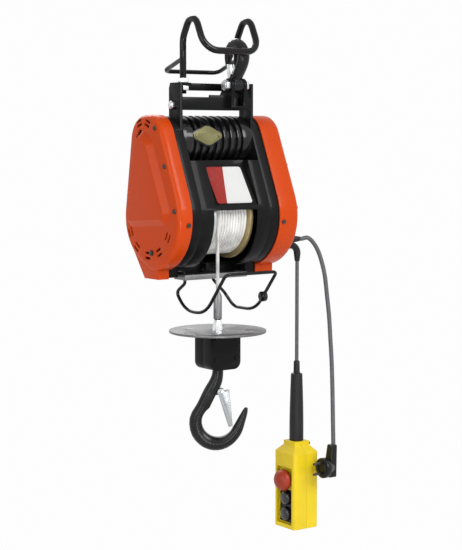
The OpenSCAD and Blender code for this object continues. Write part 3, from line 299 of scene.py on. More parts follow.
# %% Forged and cast black
def scale_black(name, colour, rough, lump, grain, shine):
    metal = Finish(name, Specular_IOR_Level=shine)
    cloud = metal.noise(scale=38, detail=5)
    skin = metal.noise(scale=grain, detail=3)
    clouds = metal.levels(cloud, low=0.4, high=0.75)
    metal.feed("Base Color", metal.mix(clouds, colour + (1,), shade(colour, 2.1)))
    metal.feed("Roughness", cloud * 0.22 + (rough - 0.1))
    metal.feed("Normal", metal.relief(cloud * 0.6 + skin * 0.4, depth=lump))
    return metal.material


forged = scale_black("forged_black", (0.006, 0.006, 0.0065), rough=0.24, lump=0.0003, grain=260, shine=0.22)
cast = scale_black("cast_black", (0.005, 0.005, 0.0055), rough=0.16, lump=0.0001, grain=620, shine=0.32)
print("blacks:", forged.name, cast.name)

# %% [markdown]
# Bright parts are zinc plated: a pale grey metal with fine rolling lines one way, cloudy gloss and small
# dull patches. Machined gear steel is darker, and the passivated flange and brush caps are the same metal
# in tan and yellow.

# %% Plated metals
def plated(name, colour, rough, lines, patch=0.5, metal_share=1.0):
    metal = Finish(name, Metallic=metal_share)
    rolled = metal.noise(scale=90, detail=3, stretch=lines)
    cloud = metal.noise(scale=30, detail=4)
    dull = metal.levels(cloud, low=0.45, high=0.72) * patch
    metal.feed("Base Color", metal.mix(dull, colour + (1,), shade(colour, 0.62)))
    metal.feed("Roughness", rolled * 0.16 + dull * 0.2 + (rough - 0.08))
    metal.feed("Normal", metal.relief(rolled, depth=0.00005))
    return metal.material


ALONG_X, ALONG_Z, ROUND_X = (1, 18, 18), (14, 14, 1), (30, 1, 1)
zinc = plated("zinc_plate", (0.62, 0.63, 0.64), rough=0.30, lines=ALONG_X)
bright_zinc = plated("bright_zinc", (0.80, 0.81, 0.82), rough=0.26, lines=ALONG_X, patch=0.3)
disc_zinc = plated("disc_plate", (0.15, 0.15, 0.155), rough=0.36, lines=ALONG_Z, patch=0.35, metal_share=0.8)
gear_steel = plated("gear_steel", (0.40, 0.41, 0.42), rough=0.32, lines=ROUND_X)
gold = plated("yellow_passivate", (0.12, 0.111, 0.040), rough=0.46, lines=(1, 10, 10), metal_share=0.4)
tan_plate = plated("tan_passivate", (0.42, 0.33, 0.16), rough=0.40, lines=(1, 10, 10), metal_share=0.6)
dull_alloy = plated("dull_alloy", (0.20, 0.20, 0.205), rough=0.45, lines=(1, 1, 12), metal_share=0.7)
dark_screw = plated("dark_screw", (0.045, 0.042, 0.040), rough=0.42, lines=(1, 8, 8), metal_share=0.6)
copper = plated("copper_winding", (0.48, 0.22, 0.10), rough=0.42, lines=(60, 1, 1))
iron = plated("stator_iron", (0.24, 0.23, 0.21), rough=0.55, lines=(80, 1, 1), metal_share=0.6)
print("metals:", zinc.name, disc_zinc.name, gear_steel.name, gold.name)

# %% [markdown]
# Wire rope is galvanised steel gone a little dull. On the drum its strands lie slanted, so waves of the
# strand's pitch run round the axis and across it at once: they dent the surface, and painted shade darkens
# the valleys.

# %% Wire rope
WOUND_R, STRAND = 0.069, 0.006


def wire_lay(name, colour, wound):
    wire = Finish(name, Metallic=0.2)
    cloud = wire.noise(scale=45, detail=4)
    clouds = wire.levels(cloud, low=0.35, high=0.75)
    tone = wire.mix(clouds, shade(colour, 1.1), shade(colour, 0.72))
    if wound:
        x, y, z = wire.axes()
        pair = [y - DRUM_MIDDLE.y, z - DRUM_MIDDLE.z]
        turn = wire.add("ShaderNodeMath", {"operation": "ARCTAN2"}, pair)
        slant = (turn * WOUND_R + x) * (2 * math.pi / STRAND)
        wave = wire.add("ShaderNodeMath", {"operation": "SINE"}, [slant])
        # painted shade: the valleys between the turns are darkened in the colour
        painted_valley_shade = wire.levels(wave, low=0.1, high=-0.9)
        tone = wire.mix(painted_valley_shade * 0.14, tone, shade(colour, 0.35))
        wire.feed("Normal", wire.relief(wave, depth=0.00015))
    wire.feed("Base Color", tone)
    wire.feed("Roughness", cloud * 0.2 + 0.34)
    return wire.material


rope_wire = wire_lay("rope_wire", (0.50, 0.495, 0.48), wound=False)
wound_wire = wire_lay("wound_wire", (0.70, 0.69, 0.67), wound=True)
print("rope:", rope_wire.name, wound_wire.name)

# %% [markdown]
# The label's print is two flat inks that meet on a slanted line. The line is given by its lower and upper
# end on the front face, so the shader only has to ask on which side of it a point lies.

# %% Label print
SPLIT_LOW, SPLIT_HIGH, SPLIT_BLUR = at(-15, 0, 25.2), at(2.2, 0, 87), 0.3 * MM
WORN_INK = (0.3, 0.3, 0.3, 1)


def two_inks(name, left, right):
    inks = Finish(name, Specular_IOR_Level=0.25)
    x, _, z = inks.axes()
    slope = (SPLIT_HIGH.x - SPLIT_LOW.x) / (SPLIT_HIGH.z - SPLIT_LOW.z)
    foot = SPLIT_LOW.x - SPLIT_LOW.z * slope
    side = inks.levels(x - z * slope, low=foot - SPLIT_BLUR, high=foot + SPLIT_BLUR)
    wear = inks.levels(inks.noise(scale=90, detail=4), low=0.55, high=0.85) * 0.12
    inks.feed("Base Color", inks.mix(wear, inks.mix(side, left, right), WORN_INK))
    inks.feed("Roughness", inks.noise(scale=30, detail=3) * 0.14 + 0.45)
    return inks.material


label_print = two_inks("label_print", left=(0.23, 0.012, 0.008, 1), right=(0.52, 0.52, 0.515, 1))
print("print:", label_print.name)

# %% [markdown]
# Rubber and moulded plastic have no metal in them. Rubber is matt with a powdery bloom; the pendant's
# yellow has a fine grain; the red cap has a satin skin and the two black keys are glossy.

# %% Rubbers and plastics
DUST = (0.35, 0.34, 0.33, 1)


def moulded(name, colour, rough, grain, depth, bloom=0.0, shine=0.5):
    plastic = Finish(name, Specular_IOR_Level=shine)
    broad = plastic.noise(scale=24, detail=3)
    skin = plastic.noise(scale=grain, detail=2)
    tone = plastic.mix(broad, shade(colour, 0.9), shade(colour, 1.08))
    dust = plastic.levels(plastic.noise(scale=60, detail=4), low=0.5, high=0.8) * bloom
    plastic.feed("Base Color", plastic.mix(dust, tone, DUST))
    plastic.feed("Roughness", broad * 0.1 + (rough - 0.05))
    plastic.feed("Normal", plastic.relief(skin, depth))
    return plastic.material


rubber = moulded("black_rubber", (0.006, 0.006, 0.0065), rough=0.50, grain=420, depth=0.00012, bloom=0.015,
                 shine=0.3)
sheath = moulded("cable_sheath", (0.060, 0.062, 0.068), rough=0.50, grain=500, depth=0.0001, bloom=0.12)
yellow = moulded("yellow_shell", (0.62, 0.455, 0.006), rough=0.42, grain=1500, depth=0.00006, shine=0.3)
red = moulded("red_cap", (0.25, 0.022, 0.006), rough=0.42, grain=900, depth=0.00003, shine=0.3)
black_plastic = moulded("black_plastic", INK, rough=0.30, grain=1200, depth=0.00005, shine=0.25)
key_black = moulded("key_black", INK, rough=0.17, grain=1200, depth=0.00003, shine=0.6)
blue_plastic = moulded("blue_plastic", (0.03, 0.10, 0.30), rough=0.45, grain=1200, depth=0.00005)
print("plastics:", rubber.name, yellow.name, red.name)

# %% [markdown]
# Each CAD node gets the finish of its real material. Nodes whose shape is already right simply keep it.
# The cables and the softened pieces further down look up their finish in this table.

# %% Finishes on the CAD nodes
finish_of = {
    orange_paint: "left_cover right_cover",
    black_paint: "left_side_frame right_side_frame drum_guard rear_guard base_channel top_beam "
                 "block_front block_rear",
    gloss_black: "hanger limit_bail",
    zinc: "tie_rods top_bolts bearings capacitor left_flange eye_pin",
    bright_zinc: "hanger_nuts thimble_eye top_latch",
    dull_alloy: "ferrule guide_bar",
    dark_screw: "cover_screws plug_pins",
    disc_zinc: "limit_disc",
    cast: "motor_housing",
    forged: "load_hook top_hook",
    iron: "stator brake_coil",
    gold: "brush_caps",
    tan_plate: "right_flange",
    copper: "armature",
    gear_steel: "gear_pins motor_shaft brake_disc first_wheel second_wheel drum_barrel drum_shaft "
                "drum_wheel load_latch",
    wound_wire: "rope_coils",
    rope_wire: "rope_fall",
    rubber: "power_gland pendant_elbow pendant_boot",
    sheath: "power_cord pendant_cable",
    yellow: "pendant_front pendant_back",
    red: "stop_button",
    key_black: "lift_button lower_button",
    black_plastic: "plug contactor pendant_contacts motor_fan",
    blue_plastic: "limit_switch",
}
finish_on = {node: finish for finish, nodes in finish_of.items() for node in nodes.split()}
for node, finish in finish_on.items():
    mesh = frame["nodes"][node].data
    mesh.materials.clear()
    mesh.materials.append(finish)
print("CAD nodes with a finish:", len(finish_on), "of", len(frame["nodes"]))

# %% [markdown]
# Hand tools for the bench. `only` picks one object and drops the rest, because an operator works on
# everything that is picked. `pick_faces` picks the faces of a piece that look one way. `shaped` adds a
# modifier and applies it, and `rounded` is the one used most: a bevel on every edge that is sharper than
# an angle.

# %% Picking and shaping
FACING, UP = 0.9, Vector((0, 0, 1))


def fresh():
    if bpy.context.object and bpy.context.object.mode != "OBJECT":
        bpy.ops.object.mode_set(mode="OBJECT")
    bpy.ops.object.select_all(action="DESELECT")


def only(obj):
    fresh()
    obj.select_set(True)
    bpy.context.view_layer.objects.active = obj
    return obj


def editing(obj, pick="SELECT"):
    """Edit mode on one object, with all of it picked or none of it."""
    only(obj)
    bpy.ops.object.mode_set(mode="EDIT")
    bpy.ops.mesh.select_mode(type="FACE")
    bpy.ops.mesh.select_all(action=pick)
    return obj


def pick_faces(obj, way):
    """Edit mode on one object, with only the faces picked that look one way."""
    editing(obj, "DESELECT")
    bpy.ops.object.mode_set(mode="OBJECT")
    for face in obj.data.polygons:
        face.select = face.normal.dot(way) > FACING
    bpy.ops.object.mode_set(mode="EDIT")


def shaped(obj, kind, **settings):
    only(obj)
    modifier = obj.modifiers.new(kind.lower(), kind)
    for key, value in settings.items():
        setattr(modifier, key, value)
    bpy.ops.object.modifier_apply(modifier=modifier.name)
    return obj


def rounded(obj, width, segments=2, sharp=32):
    return shaped(obj, "BEVEL", width=width * MM, segments=segments, limit_method="ANGLE",
                  angle_limit=math.radians(sharp))


print("hand tools ready in", bpy.context.mode, "mode")

# %% [markdown]
# `settle` gives a finished piece its name, finish and body, and hides the CAD nodes it stands for.
# `cast_of` takes a copy of a CAD node and welds its corners, so that bevels can run round them.

# %% Settling and casting
body_of = {node: body for body, nodes in frame["record"]["behaviour"]["bodies"].items() for node in nodes}


def settle(obj, name, body, finish, *nodes, sharp=35):
    only(obj)
    bpy.ops.object.transform_apply(location=True, rotation=True, scale=True)
    obj.name = name
    obj.data.materials.clear()
    obj.data.materials.append(finish)
    bpy.ops.object.shade_smooth_by_angle(angle=math.radians(sharp))
    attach(obj, body)
    if nodes:
        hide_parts(*nodes)
    return obj


def cast_of(node):
    only(frame["nodes"][node])
    bpy.ops.object.duplicate()
    copy = bpy.context.active_object
    for key in [k for k in copy.keys() if k.startswith("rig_")]:
        del copy[key]
    bpy.ops.object.parent_clear(type="CLEAR_KEEP_TRANSFORM")
    editing(copy)
    bpy.ops.mesh.remove_doubles(threshold=0.000002)
    bpy.ops.object.mode_set(mode="OBJECT")
    return copy


# %% [markdown]
# Stock for new pieces. `block` and `rod` are the sawn-off bars that later steps cut, bevel and hollow.
# `turned` is a lathe: one vertex is drawn along a profile, and the line is spun about Z. `stand` carries
# a piece made round Z to its place and turns it.

# %% Stock and lathe
def block(place, size):
    """A box of a size in millimetres, with its middle at a place."""
    fresh()
    bpy.ops.mesh.primitive_cube_add(size=1, location=place)
    box = bpy.context.active_object
    box.scale = [side * MM for side in size]
    only(box)
    bpy.ops.object.transform_apply(location=True, rotation=True, scale=True)
    return box


def rod(radius, height, place=(0, 0, 0), turn=(0, 0, 0), sides=24):
    """A round bar in millimetres with its middle at a place; six sides make it a hexagon."""
    fresh()
    bpy.ops.mesh.primitive_cylinder_add(vertices=sides, radius=radius * MM, depth=height * MM,
                                        location=place, rotation=turn)
    return bpy.context.active_object


def turned(profile, segments=48):
    """A turned piece from (radius, height) points in millimetres."""
    fresh()
    bpy.ops.mesh.primitive_plane_add(size=0.001, location=(0, 0, 0))
    obj = bpy.context.active_object
    editing(obj)
    bpy.ops.mesh.select_mode(type="VERT")
    bpy.ops.mesh.select_all(action="SELECT")
    bpy.ops.mesh.merge(type="CENTER")
    here = (0, 0)
    for index, (radius, height) in enumerate(profile):
        step = ((radius - here[0]) * MM, 0, (height - here[1]) * MM)
        if index == 0:
            bpy.ops.transform.translate(value=step)
        else:
            bpy.ops.mesh.extrude_region_move(TRANSFORM_OT_translate={"value": step})
        here = (radius, height)
    bpy.ops.mesh.select_all(action="SELECT")
    bpy.ops.mesh.spin(steps=segments, angle=2 * math.pi, center=(0, 0, 0), axis=(0, 0, 1))
    bpy.ops.mesh.select_all(action="SELECT")
    bpy.ops.mesh.remove_doubles(threshold=0.00001)
    bpy.ops.mesh.normals_make_consistent(inside=False)
    bpy.ops.object.mode_set(mode="OBJECT")
    return obj


def stand(obj, place, up=UP, across=None):
    """Stands a piece made round Z at a place, with its Z along `up`."""
    up = Vector(up).normalized()
    if across is None:
        turn = up.to_track_quat("Z", "Y").to_matrix()
    else:
        side = Vector(across).normalized()
        turn = Matrix((side, up.cross(side), up)).transposed()
    obj.matrix_world = Matrix.Translation(place) @ turn.to_4x4()
    return obj


print("lathe ready, turning about", tuple(UP))

# %% [markdown]
# The two cables come first, because they set how the hoist reads as a hanging thing. The power cord
# leaves its gland at the right cover, bows outward and hangs straight to its plug; the whole of it is in
# the picture. The pendant's cable is pulled straight by the pendant's weight. Both follow the CAD's own
# route points through one smooth curve.

# %% Cables
PENDANT_X, PENDANT_Y, ELBOW_END, BOOT_TOP = 180, -36, -88, -274
CORD_R, PENDANT_LINE_R = 4, 3.5


def smooth_route(points, steps):
    """More points on the smooth curve through the given ones."""
    found = []
    for i in range(len(points) - 1):
        a, b = points[max(i - 1, 0)], points[i]
        c, d = points[i + 1], points[min(i + 2, len(points) - 1)]
        for k in range(steps):
            t = k / steps
            found.append(0.5 * (2 * b + (c - a) * t + (2 * a - 5 * b + 4 * c - d) * t * t
                                + (3 * b - a - 3 * c + d) * t ** 3))
    return found + [points[-1]]


def bezier_line(points):
    fresh()
    bpy.ops.curve.primitive_bezier_curve_add(location=(0, 0, 0))
    line = bpy.context.active_object
    knots = line.data.splines[0].bezier_points
    knots.add(len(points) - 2)
    for knot, place in zip(knots, points):
        knot.co = place
        knot.handle_left_type = knot.handle_right_type = "AUTO"
    return line


def length_of(points):
    return sum((b - a).length for a, b in zip(points, points[1:]))


def cable(name, points, radius, node):
    curve = bezier_line(points)
    curve.data.bevel_depth = radius * MM
    curve.data.bevel_resolution = 5
    curve.data.resolution_u = 6
    curve.data.use_fill_caps = True
    curve.name = name
    curve.data.materials.append(finish_on[node])
    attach(curve, "frame")
    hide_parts(node)
    return curve


CORD_ROUTE = (
    (166.4, -58, -45), (174, -58, -45), (184, -61.5, -43.5), (194, -65, -52), (203, -68, -67),
    (210, -70, -86), (216, -73, -114), (219, -76, -150), (222, -79, -190), (223, -82, -232),
    (224, -85, -276), (223, -89, -328), (222, -92, -380), (221, -95, -430),
)
cord_points = smooth_route([at(*place) for place in CORD_ROUTE], steps=2)
power_cord = cable("power_cord_line", cord_points, CORD_R, "power_cord")
cord_length = length_of(cord_points)
hang_points = [at(PENDANT_X, PENDANT_Y, z) for z in range(ELBOW_END, BOOT_TOP - 1, -31)]
pendant_line = cable("pendant_cable_line", hang_points, PENDANT_LINE_R, "pendant_cable")
line_length = length_of(hang_points)
print("cord", round(cord_length, 3), "m, pendant cable", round(line_length, 3), "m")

# %% [markdown]
# The plug is a moulded disc with a grip for the hand. The disc is turned with a back that draws in like a
# cone, a ring stands on its face, and two rounded pins come out of it. The grip is a block whose top is
# drawn in towards the cord. A plug like this is moulded over the cord in one shot, so every edge is soft.

# %% Plug
PLUG_X, PLUG_Y, PLUG_Z = 193, -95, -470
GRIP_X, GRIP_Z, GRIP = 214, -458, (21, 22, 60)
GRIP_TOP, GRIP_FOOT = GRIP_Z + GRIP[2] / 2, GRIP_Z - GRIP[2] / 2
DISC_PROFILE = [(0, 0), (17.4, 0), (18.6, 0.6), (19, 1.8), (19, 8), (18.2, 9.6), (12, 22.6), (10.4, 24),
                (0, 24)]
RING_PROFILE = [(15.2, 0), (15.2, 1.2), (13.6, 1.8), (10.5, 1.8), (9.6, 1.2), (9.6, 0)]
plug = turned(DISC_PROFILE, segments=56)
stand(plug, at(PLUG_X, PLUG_Y, PLUG_Z), (1, 0, 0))
settle(plug, "plug_body", "frame", black_plastic, "plug")
pins = rounded(cast_of("plug_pins"), width=0.9, segments=3, sharp=40)
settle(pins, "plug_pin_pair", "frame", dark_screw, "plug_pins")
ring = turned(RING_PROFILE, segments=40)
stand(ring, at(PLUG_X + 0.2, PLUG_Y, PLUG_Z), (-1, 0, 0))
settle(ring, "plug_face_ring", "frame", black_plastic)
grip = block(at(GRIP_X, PLUG_Y, GRIP_Z), GRIP)
pick_faces(grip, UP)
bpy.ops.transform.resize(value=(0.6, 0.7, 1), center_override=at(224.5, PLUG_Y, GRIP_TOP))
pick_faces(grip, -UP)
bpy.ops.transform.resize(value=(0.8, 1, 1), center_override=at(206, PLUG_Y, GRIP_FOOT))
bpy.ops.object.mode_set(mode="OBJECT")
rounded(grip, width=2.2, segments=3, sharp=30)
settle(grip, "plug_grip", "frame", black_plastic)
at(166.4, -58, -45)
at(180, -36, -88)
print("plug pieces:", plug.name, pins.name, ring.name, grip.name)

# %% [markdown]
# Wire rope is six strands laid round a core. A circle is pulled in at six places, and the Screw modifier
# drags the profile along while it turns, so the strands wind round each other as real lay does. A Curve
# modifier then leads the straight rope off the front of the drum and down. The fall stretches between the
# drum and the hook.

# %% Rope fall
STRANDS, PER_STRAND, LAY, ROPE_R = 6, 6, 0.036, 3.05
FALL_X, FALL_Y, LEAD_R = -22.5, -66, 68.4
LEAD_ANGLES = [math.radians(degrees) for degrees in (-4, 8, 18, 28)]
LAY_STEPS = 150
fall_path = [at(FALL_X, FALL_Y, z) for z in (-131, -98, -65, -32)]
fall_path += [at(FALL_X, -LEAD_R * math.cos(a), LEAD_R * math.sin(a)) for a in LEAD_ANGLES]
fall_length = length_of(fall_path)
lead = bezier_line(fall_path)
fresh()
bpy.ops.mesh.primitive_circle_add(vertices=STRANDS * PER_STRAND, radius=ROPE_R * MM, location=(0, 0, 0))
fall = bpy.context.active_object
editing(fall, "DESELECT")
bpy.ops.mesh.select_mode(type="VERT")
bpy.ops.object.mode_set(mode="OBJECT")
for pull, spots in ((0.74, (0,)), (0.92, (1, PER_STRAND - 1))):
    for index, vertex in enumerate(fall.data.vertices):
        vertex.select = index % PER_STRAND in spots
    bpy.ops.object.mode_set(mode="EDIT")
    bpy.ops.transform.resize(value=(pull, pull, 1), center_override=(0, 0, 0))
    bpy.ops.object.mode_set(mode="OBJECT")
shaped(fall, "SCREW", screw_offset=fall_length, angle=2 * math.pi * fall_length / LAY, steps=LAY_STEPS,
       render_steps=LAY_STEPS)
shaped(fall, "CURVE", object=lead, deform_axis="POS_Z")
bpy.data.objects.remove(lead)
editing(fall)
bpy.ops.mesh.normals_make_consistent(inside=False)
bpy.ops.object.mode_set(mode="OBJECT")
only(fall)
bpy.ops.object.shade_smooth()
fall.name = "rope_fall_strands"
fall.data.materials.append(rope_wire)
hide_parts("rope_fall")
at(FALL_X, -66, -29)
at(FALL_X, -66, -130)
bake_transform(fall)
print("rope fall:", len(fall.data.polygons), "faces over", round(fall_length * 1000), "mm")

# %% [markdown]
# The hooks are drop forgings. The load hook's seat is first dressed flush with its bowl by cutting a
# cylinder out of a copy. The CAD sections are joined by flat facets, so each copy is then turned into an
# even skin by the Remesh modifier and relaxed: the facets melt, the sections stay, and the edges take the
# soft radius that a die leaves.

# %% Forged hooks
BOWL, BOWL_R, BOWL_CUT = at(FALL_X, FALL_Y, -362), 28.4, 80
HOOK_ACROSS = (math.pi / 2, 0, math.radians(-36))
bowl_cutter = rod(BOWL_R, BOWL_CUT, BOWL, HOOK_ACROSS, sides=96)
for node, grid in (("load_hook", 0.85), ("top_hook", 0.6)):
    hook = cast_of(node)
    if node == "load_hook":
        shaped(hook, "BOOLEAN", object=bowl_cutter, operation="DIFFERENCE", solver="EXACT")
    shaped(hook, "REMESH", mode="VOXEL", voxel_size=grid * MM)
    shaped(hook, "SMOOTH", factor=0.5, iterations=7)
    settle(hook, node + "_forging", body_of[node], forged, node, sharp=60)
    print(hook.name, len(hook.data.polygons), "faces")
bpy.data.objects.remove(bowl_cutter)

# %% [markdown]
# Sheet metal and machined parts look hard and false with knife edges. Each of these pieces is its CAD
# shape with its flat faces welded whole again, and with a small bevel round every corner: a press brake
# leaves about a millimetre, a lathe a few tenths, a moulding more. Bent rods have no edges, so they only
# get smooth shading.

# %% Softened edges
SAME_PLANE = math.radians(0.6)
WIDE = 1.5
soft_edges = (
    (2.4, "left_cover right_cover"),
    (1.0, "left_side_frame right_side_frame drum_guard rear_guard base_channel top_beam"),
    (1.6, "block_front block_rear"),
    (0.0, "hanger limit_bail"),
    (0.9, "motor_housing"),
    (0.7, "hanger_nuts top_latch thimble_eye"),
    (0.5, "top_bolts eye_pin left_flange load_latch ferrule guide_bar"),
    (0.6, "limit_disc"),
    (0.8, "right_flange"),
    (0.5, "brush_caps"),
    (2.2, "pendant_front pendant_back"),
    (1.0, "lift_button lower_button"),
)
softened = 0
for width, nodes in soft_edges:
    for node in nodes.split():
        piece = cast_of(node)
        if width:
            editing(piece)
            bpy.ops.mesh.dissolve_limited(angle_limit=SAME_PLANE)
            bpy.ops.object.mode_set(mode="OBJECT")
            rounded(piece, width, segments=3 if width > WIDE else 2)
        settle(piece, node + "_form", body_of[node], finish_on[node], node)
        softened += 1
print("softened pieces:", softened)

# %% [markdown]
# The wound rope keeps its CAD ridges; smooth shading makes them round, and the lay of the strands is
# drawn into its finish as slanted waves round the drum, with painted shade in their valleys.

# %% Wound rope
coils = cast_of("rope_coils")
settle(coils, "rope_coils_form", "drum", wound_wire, "rope_coils", sharp=50)
print("wound rope:", len(coils.data.polygons), "faces")

# %% [markdown]
# Cover screws are low socket heads. One head is a cylinder whose top is inset and pushed down to a well
# with a rounded rim; copies of it are stood on the rim of each cover's face and on its skirt.
# A hexagon bolt closes the left cover's foot, and a smaller, taller screw clamps the collar of the
# pendant.

# %% Cover screws
WELL_RIM, WELL_DEPTH, WELL_SLOPE = 0.42, 0.55, 0.1
UPPER_Z, LEFT_FACE, RIGHT_FACE, SKIRT = 135, -123, 140, 103


def socket_head(radius, height):
    head = only(rod(radius, height, (0, 0, height * MM / 2)))
    bpy.ops.object.transform_apply(location=True, rotation=True, scale=True)
    pick_faces(head, UP)
    bpy.ops.mesh.inset(thickness=radius * WELL_RIM * MM, depth=0)
    bpy.ops.mesh.inset(thickness=radius * WELL_SLOPE * MM, depth=-height * WELL_DEPTH * MM)
    bpy.ops.object.mode_set(mode="OBJECT")
    return rounded(head, width=0.45, segments=2, sharp=50)


def rim(radius, degrees, centre=(0, 0)):
    turn = math.radians(degrees)
    return centre[0] + radius * math.cos(turn), centre[1] + radius * math.sin(turn), turn


face_spots = [rim(33, 140, (5, UPPER_Z))[:2], (-50.3, 90.3), rim(82, 170)[:2]]
skirt_spots = [rim(94, 186), rim(84, -5), rim(45, 12, (18, UPPER_Z))]
places = []
for face in (LEFT_FACE, RIGHT_FACE):
    places += [(at(face, y, z), (math.copysign(1, face), 0, 0)) for y, z in face_spots]
for x in (-SKIRT, SKIRT):
    places += [(at(x, y, z), (0, math.cos(turn), math.sin(turn))) for y, z, turn in skirt_spots]
master = socket_head(radius=4, height=2.5)
heads = []
for place, out in places:
    only(master)
    bpy.ops.object.duplicate()
    heads.append(stand(bpy.context.active_object, place, out))
bolt = rounded(rod(radius=5, height=4, sides=6), width=0.7, segments=2, sharp=20)
heads.append(stand(bolt, at(-125, -9, -61), (-1, 0, 0)))
bpy.data.objects.remove(master)
for index, head in enumerate(heads):
    stands_for = ["cover_screws"] if index == 0 else []
    settle(head, f"cover_screw_{index + 1:02d}", "frame", dark_screw, *stands_for)
collar_screw = stand(socket_head(radius=3, height=6), at(196, -47, -431), (1, 0, 0))
settle(collar_screw, "collar_screw", "frame", dark_screw)
print("cover screws:", len(heads), "and", collar_screw.name)

# %% [markdown]
# The label's place on the leaning front face is a bare thin plate with rounded corners and a raised lip.
# It is cut from a block: the upright edges are bevelled round, and the face is inset and let in, so that
# the lip stays.

# %% Bare label plate
PLATE, PLATE_CORNER, LIP, LIP_SLOPE = (76, 74, 1.2), 5, 1.6, 0.4
LEAN = math.atan2(70, 44)
FACE_X, FACE_Y, FACE_Z, UP_THE_FACE, PLATE_LIFT = 3, -87, 20, 43.3, 0.7
plate = block((0, 0, 0), PLATE)
editing(plate, "DESELECT")
bpy.ops.mesh.select_mode(type="EDGE")
bpy.ops.object.mode_set(mode="OBJECT")
for edge in plate.data.edges:
    a, b = (plate.data.vertices[i].co for i in edge.vertices)
    edge.select = abs(a.z - b.z) > MM / 2
bpy.ops.object.mode_set(mode="EDIT")
bpy.ops.mesh.bevel(offset=PLATE_CORNER * MM, segments=5, affect="EDGES")
pick_faces(plate, UP)
bpy.ops.mesh.inset(thickness=LIP * MM, depth=0)
bpy.ops.mesh.inset(thickness=LIP_SLOPE * MM, depth=-LIP_SLOPE * MM)
bpy.ops.object.mode_set(mode="OBJECT")
rounded(plate, width=0.2, segments=2, sharp=30)
out = Vector((0, -math.sin(LEAN), math.cos(LEAN)))
seat = at(FACE_X, FACE_Y + UP_THE_FACE * math.cos(LEAN), FACE_Z + UP_THE_FACE * math.sin(LEAN))
stand(plate, seat + out * PLATE_LIFT * MM, out, (1, 0, 0))
settle(plate, "label_plate", "frame", label_print, sharp=30)
print("label plate:", len(plate.data.polygons), "faces")

# %% [markdown]
# The stop button is a mushroom, turned on a lathe: a rounded cap with a shallow crown and a thin skirt,
# on a stem. The boot on the pendant's neck is turned too: a long plain sleeve that thins towards the
# cable.

# %% Stop button and boot
CAP_PROFILE = [(0, 20), (5, 19.7), (10, 18.4), (14, 16.2), (17, 13.3), (19, 10), (20, 6.4), (20, 2.4),
               (19.2, 0.8), (17.6, 0), (7.2, 0), (6.2, -1), (6, -2), (6, -15.4), (0, -15.4)]
BOOT_PROFILE = [(0, 0), (13, 0), (13.2, 2), (13.2, 30), (12.8, 60), (11.8, 95), (10.8, 124), (10.2, 126.4),
                (6.4, 127.4), (6, 129), (5.6, 148.6), (4.8, 150.4), (0, 151)]
CAP_BACK, STOP_Z, PENDANT_TOP = 26.5, -497, -425
cap = turned(CAP_PROFILE, segments=64)
stand(cap, at(PENDANT_X - CAP_BACK, PENDANT_Y, STOP_Z), (-1, 0, 0))
settle(cap, "stop_cap", "stop_button", red, "stop_button", sharp=40)
boot = turned(BOOT_PROFILE, segments=48)
stand(boot, at(PENDANT_X, PENDANT_Y, PENDANT_TOP))
settle(boot, "pendant_boot_form", "frame", rubber, "pendant_boot", sharp=40)
print("stop cap", len(cap.data.polygons), "faces, boot", len(boot.data.polygons), "faces")

# %% [markdown]
# The two travel keys of the pendant come up through a black moulded pad. It is a plate with two holes,
# which rods cut out of it a little larger than the keys.

# %% Key pad
KEY_HEIGHTS, KEY_R, KEY_SLACK = (-532, -562.5), 13, 0.5
PAD_X, PAD = 158.3, (1.4, 40, 62)
pad = block(at(PAD_X, PENDANT_Y, sum(KEY_HEIGHTS) / 2), PAD)
for height in KEY_HEIGHTS:
    cutter = rod(KEY_R + KEY_SLACK, 10, at(PAD_X, PENDANT_Y, height), (0, math.pi / 2, 0), sides=48)
    shaped(pad, "BOOLEAN", object=cutter, operation="DIFFERENCE", solver="EXACT")
    bpy.data.objects.remove(cutter)
rounded(pad, width=0.4, segments=2, sharp=50)
settle(pad, "key_pad", "frame", black_plastic)
print("key pad:", len(pad.data.polygons), "faces")

# %% [markdown]
# Both cables enter the right cover. The power cord has a screwed gland: a plated hexagon and a rubber
# sleeve that thins along the cord in three ribs.

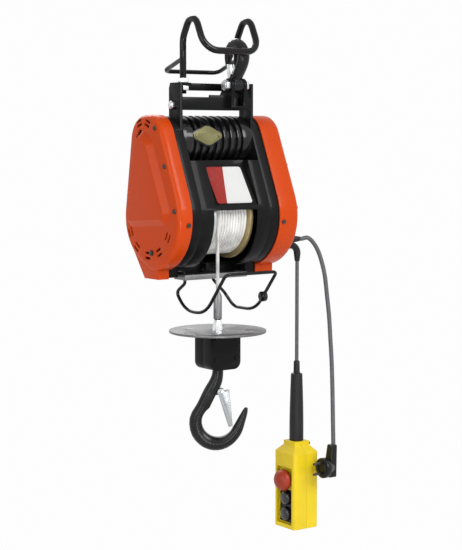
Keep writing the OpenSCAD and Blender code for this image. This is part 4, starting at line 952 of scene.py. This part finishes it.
# %% Gland
GLAND = at(RIGHT_FACE, -58, -45)
SLEEVE_PROFILE = [(0, -2.8), (7.9, -2.8), (7.9, 6), (7.4, 9), (6.2, 10), (6.6, 12.5), (5.8, 13.5),
                  (6.1, 16.5), (5.4, 17.5), (5.6, 20.5), (5, 21.5), (4.8, 26), (0, 26)]
NUT_R, NUT_HEIGHT = 11, 6
gland_nut = rod(NUT_R, NUT_HEIGHT, (0, 0, NUT_HEIGHT * MM / 2), sides=6)
rounded(gland_nut, width=1.0, segments=2, sharp=20)
stand(gland_nut, GLAND, (1, 0, 0))
settle(gland_nut, "gland_nut", "frame", zinc)
sleeve = turned(SLEEVE_PROFILE, segments=40)
stand(sleeve, GLAND, (1, 0, 0))
settle(sleeve, "gland_sleeve", "frame", rubber, "power_gland", sharp=40)
print("gland sleeve:", len(sleeve.data.polygons), "faces")

# %% [markdown]
# The pendant's cable comes out of a rubber elbow. It is a disc that is pulled out of the cover, swung
# down by Spin and drawn in near the cable's size, so one disc gives a tube without a seam.

# %% Elbow
ELBOW_START, ELBOW_Z, ELBOW_R, BEND, ELBOW_THIN = 137.2, -58, 6.4, 16, 0.72
fresh()
bpy.ops.mesh.primitive_circle_add(vertices=28, radius=ELBOW_R * MM, fill_type="NGON",
                                  location=at(ELBOW_START, PENDANT_Y, ELBOW_Z), rotation=(0, math.pi / 2, 0))
elbow = only(bpy.context.active_object)
bpy.ops.object.transform_apply(location=True, rotation=True, scale=True)
editing(elbow)
reach = (PENDANT_X - BEND - ELBOW_START) * MM
bpy.ops.mesh.extrude_region_move(TRANSFORM_OT_translate={"value": (reach, 0, 0)})
bend_centre = at(PENDANT_X - BEND, PENDANT_Y, ELBOW_Z - BEND)
bpy.ops.mesh.spin(steps=12, angle=math.pi / 2, center=bend_centre, axis=(0, -1, 0))
drop = (ELBOW_END - ELBOW_Z + BEND) * MM
bpy.ops.mesh.extrude_region_move(TRANSFORM_OT_translate={"value": (0, 0, drop)})
elbow_mouth = at(PENDANT_X, PENDANT_Y, ELBOW_END)
bpy.ops.transform.resize(value=(ELBOW_THIN, ELBOW_THIN, 1), center_override=elbow_mouth)
bpy.ops.mesh.select_all(action="SELECT")
bpy.ops.mesh.normals_make_consistent(inside=False)
bpy.ops.object.mode_set(mode="OBJECT")
rounded(elbow, width=0.6, segments=2, sharp=50)
settle(elbow, "pendant_elbow_sleeve", "frame", rubber, "pendant_elbow", sharp=50)
print("elbow:", len(elbow.data.polygons), "faces")
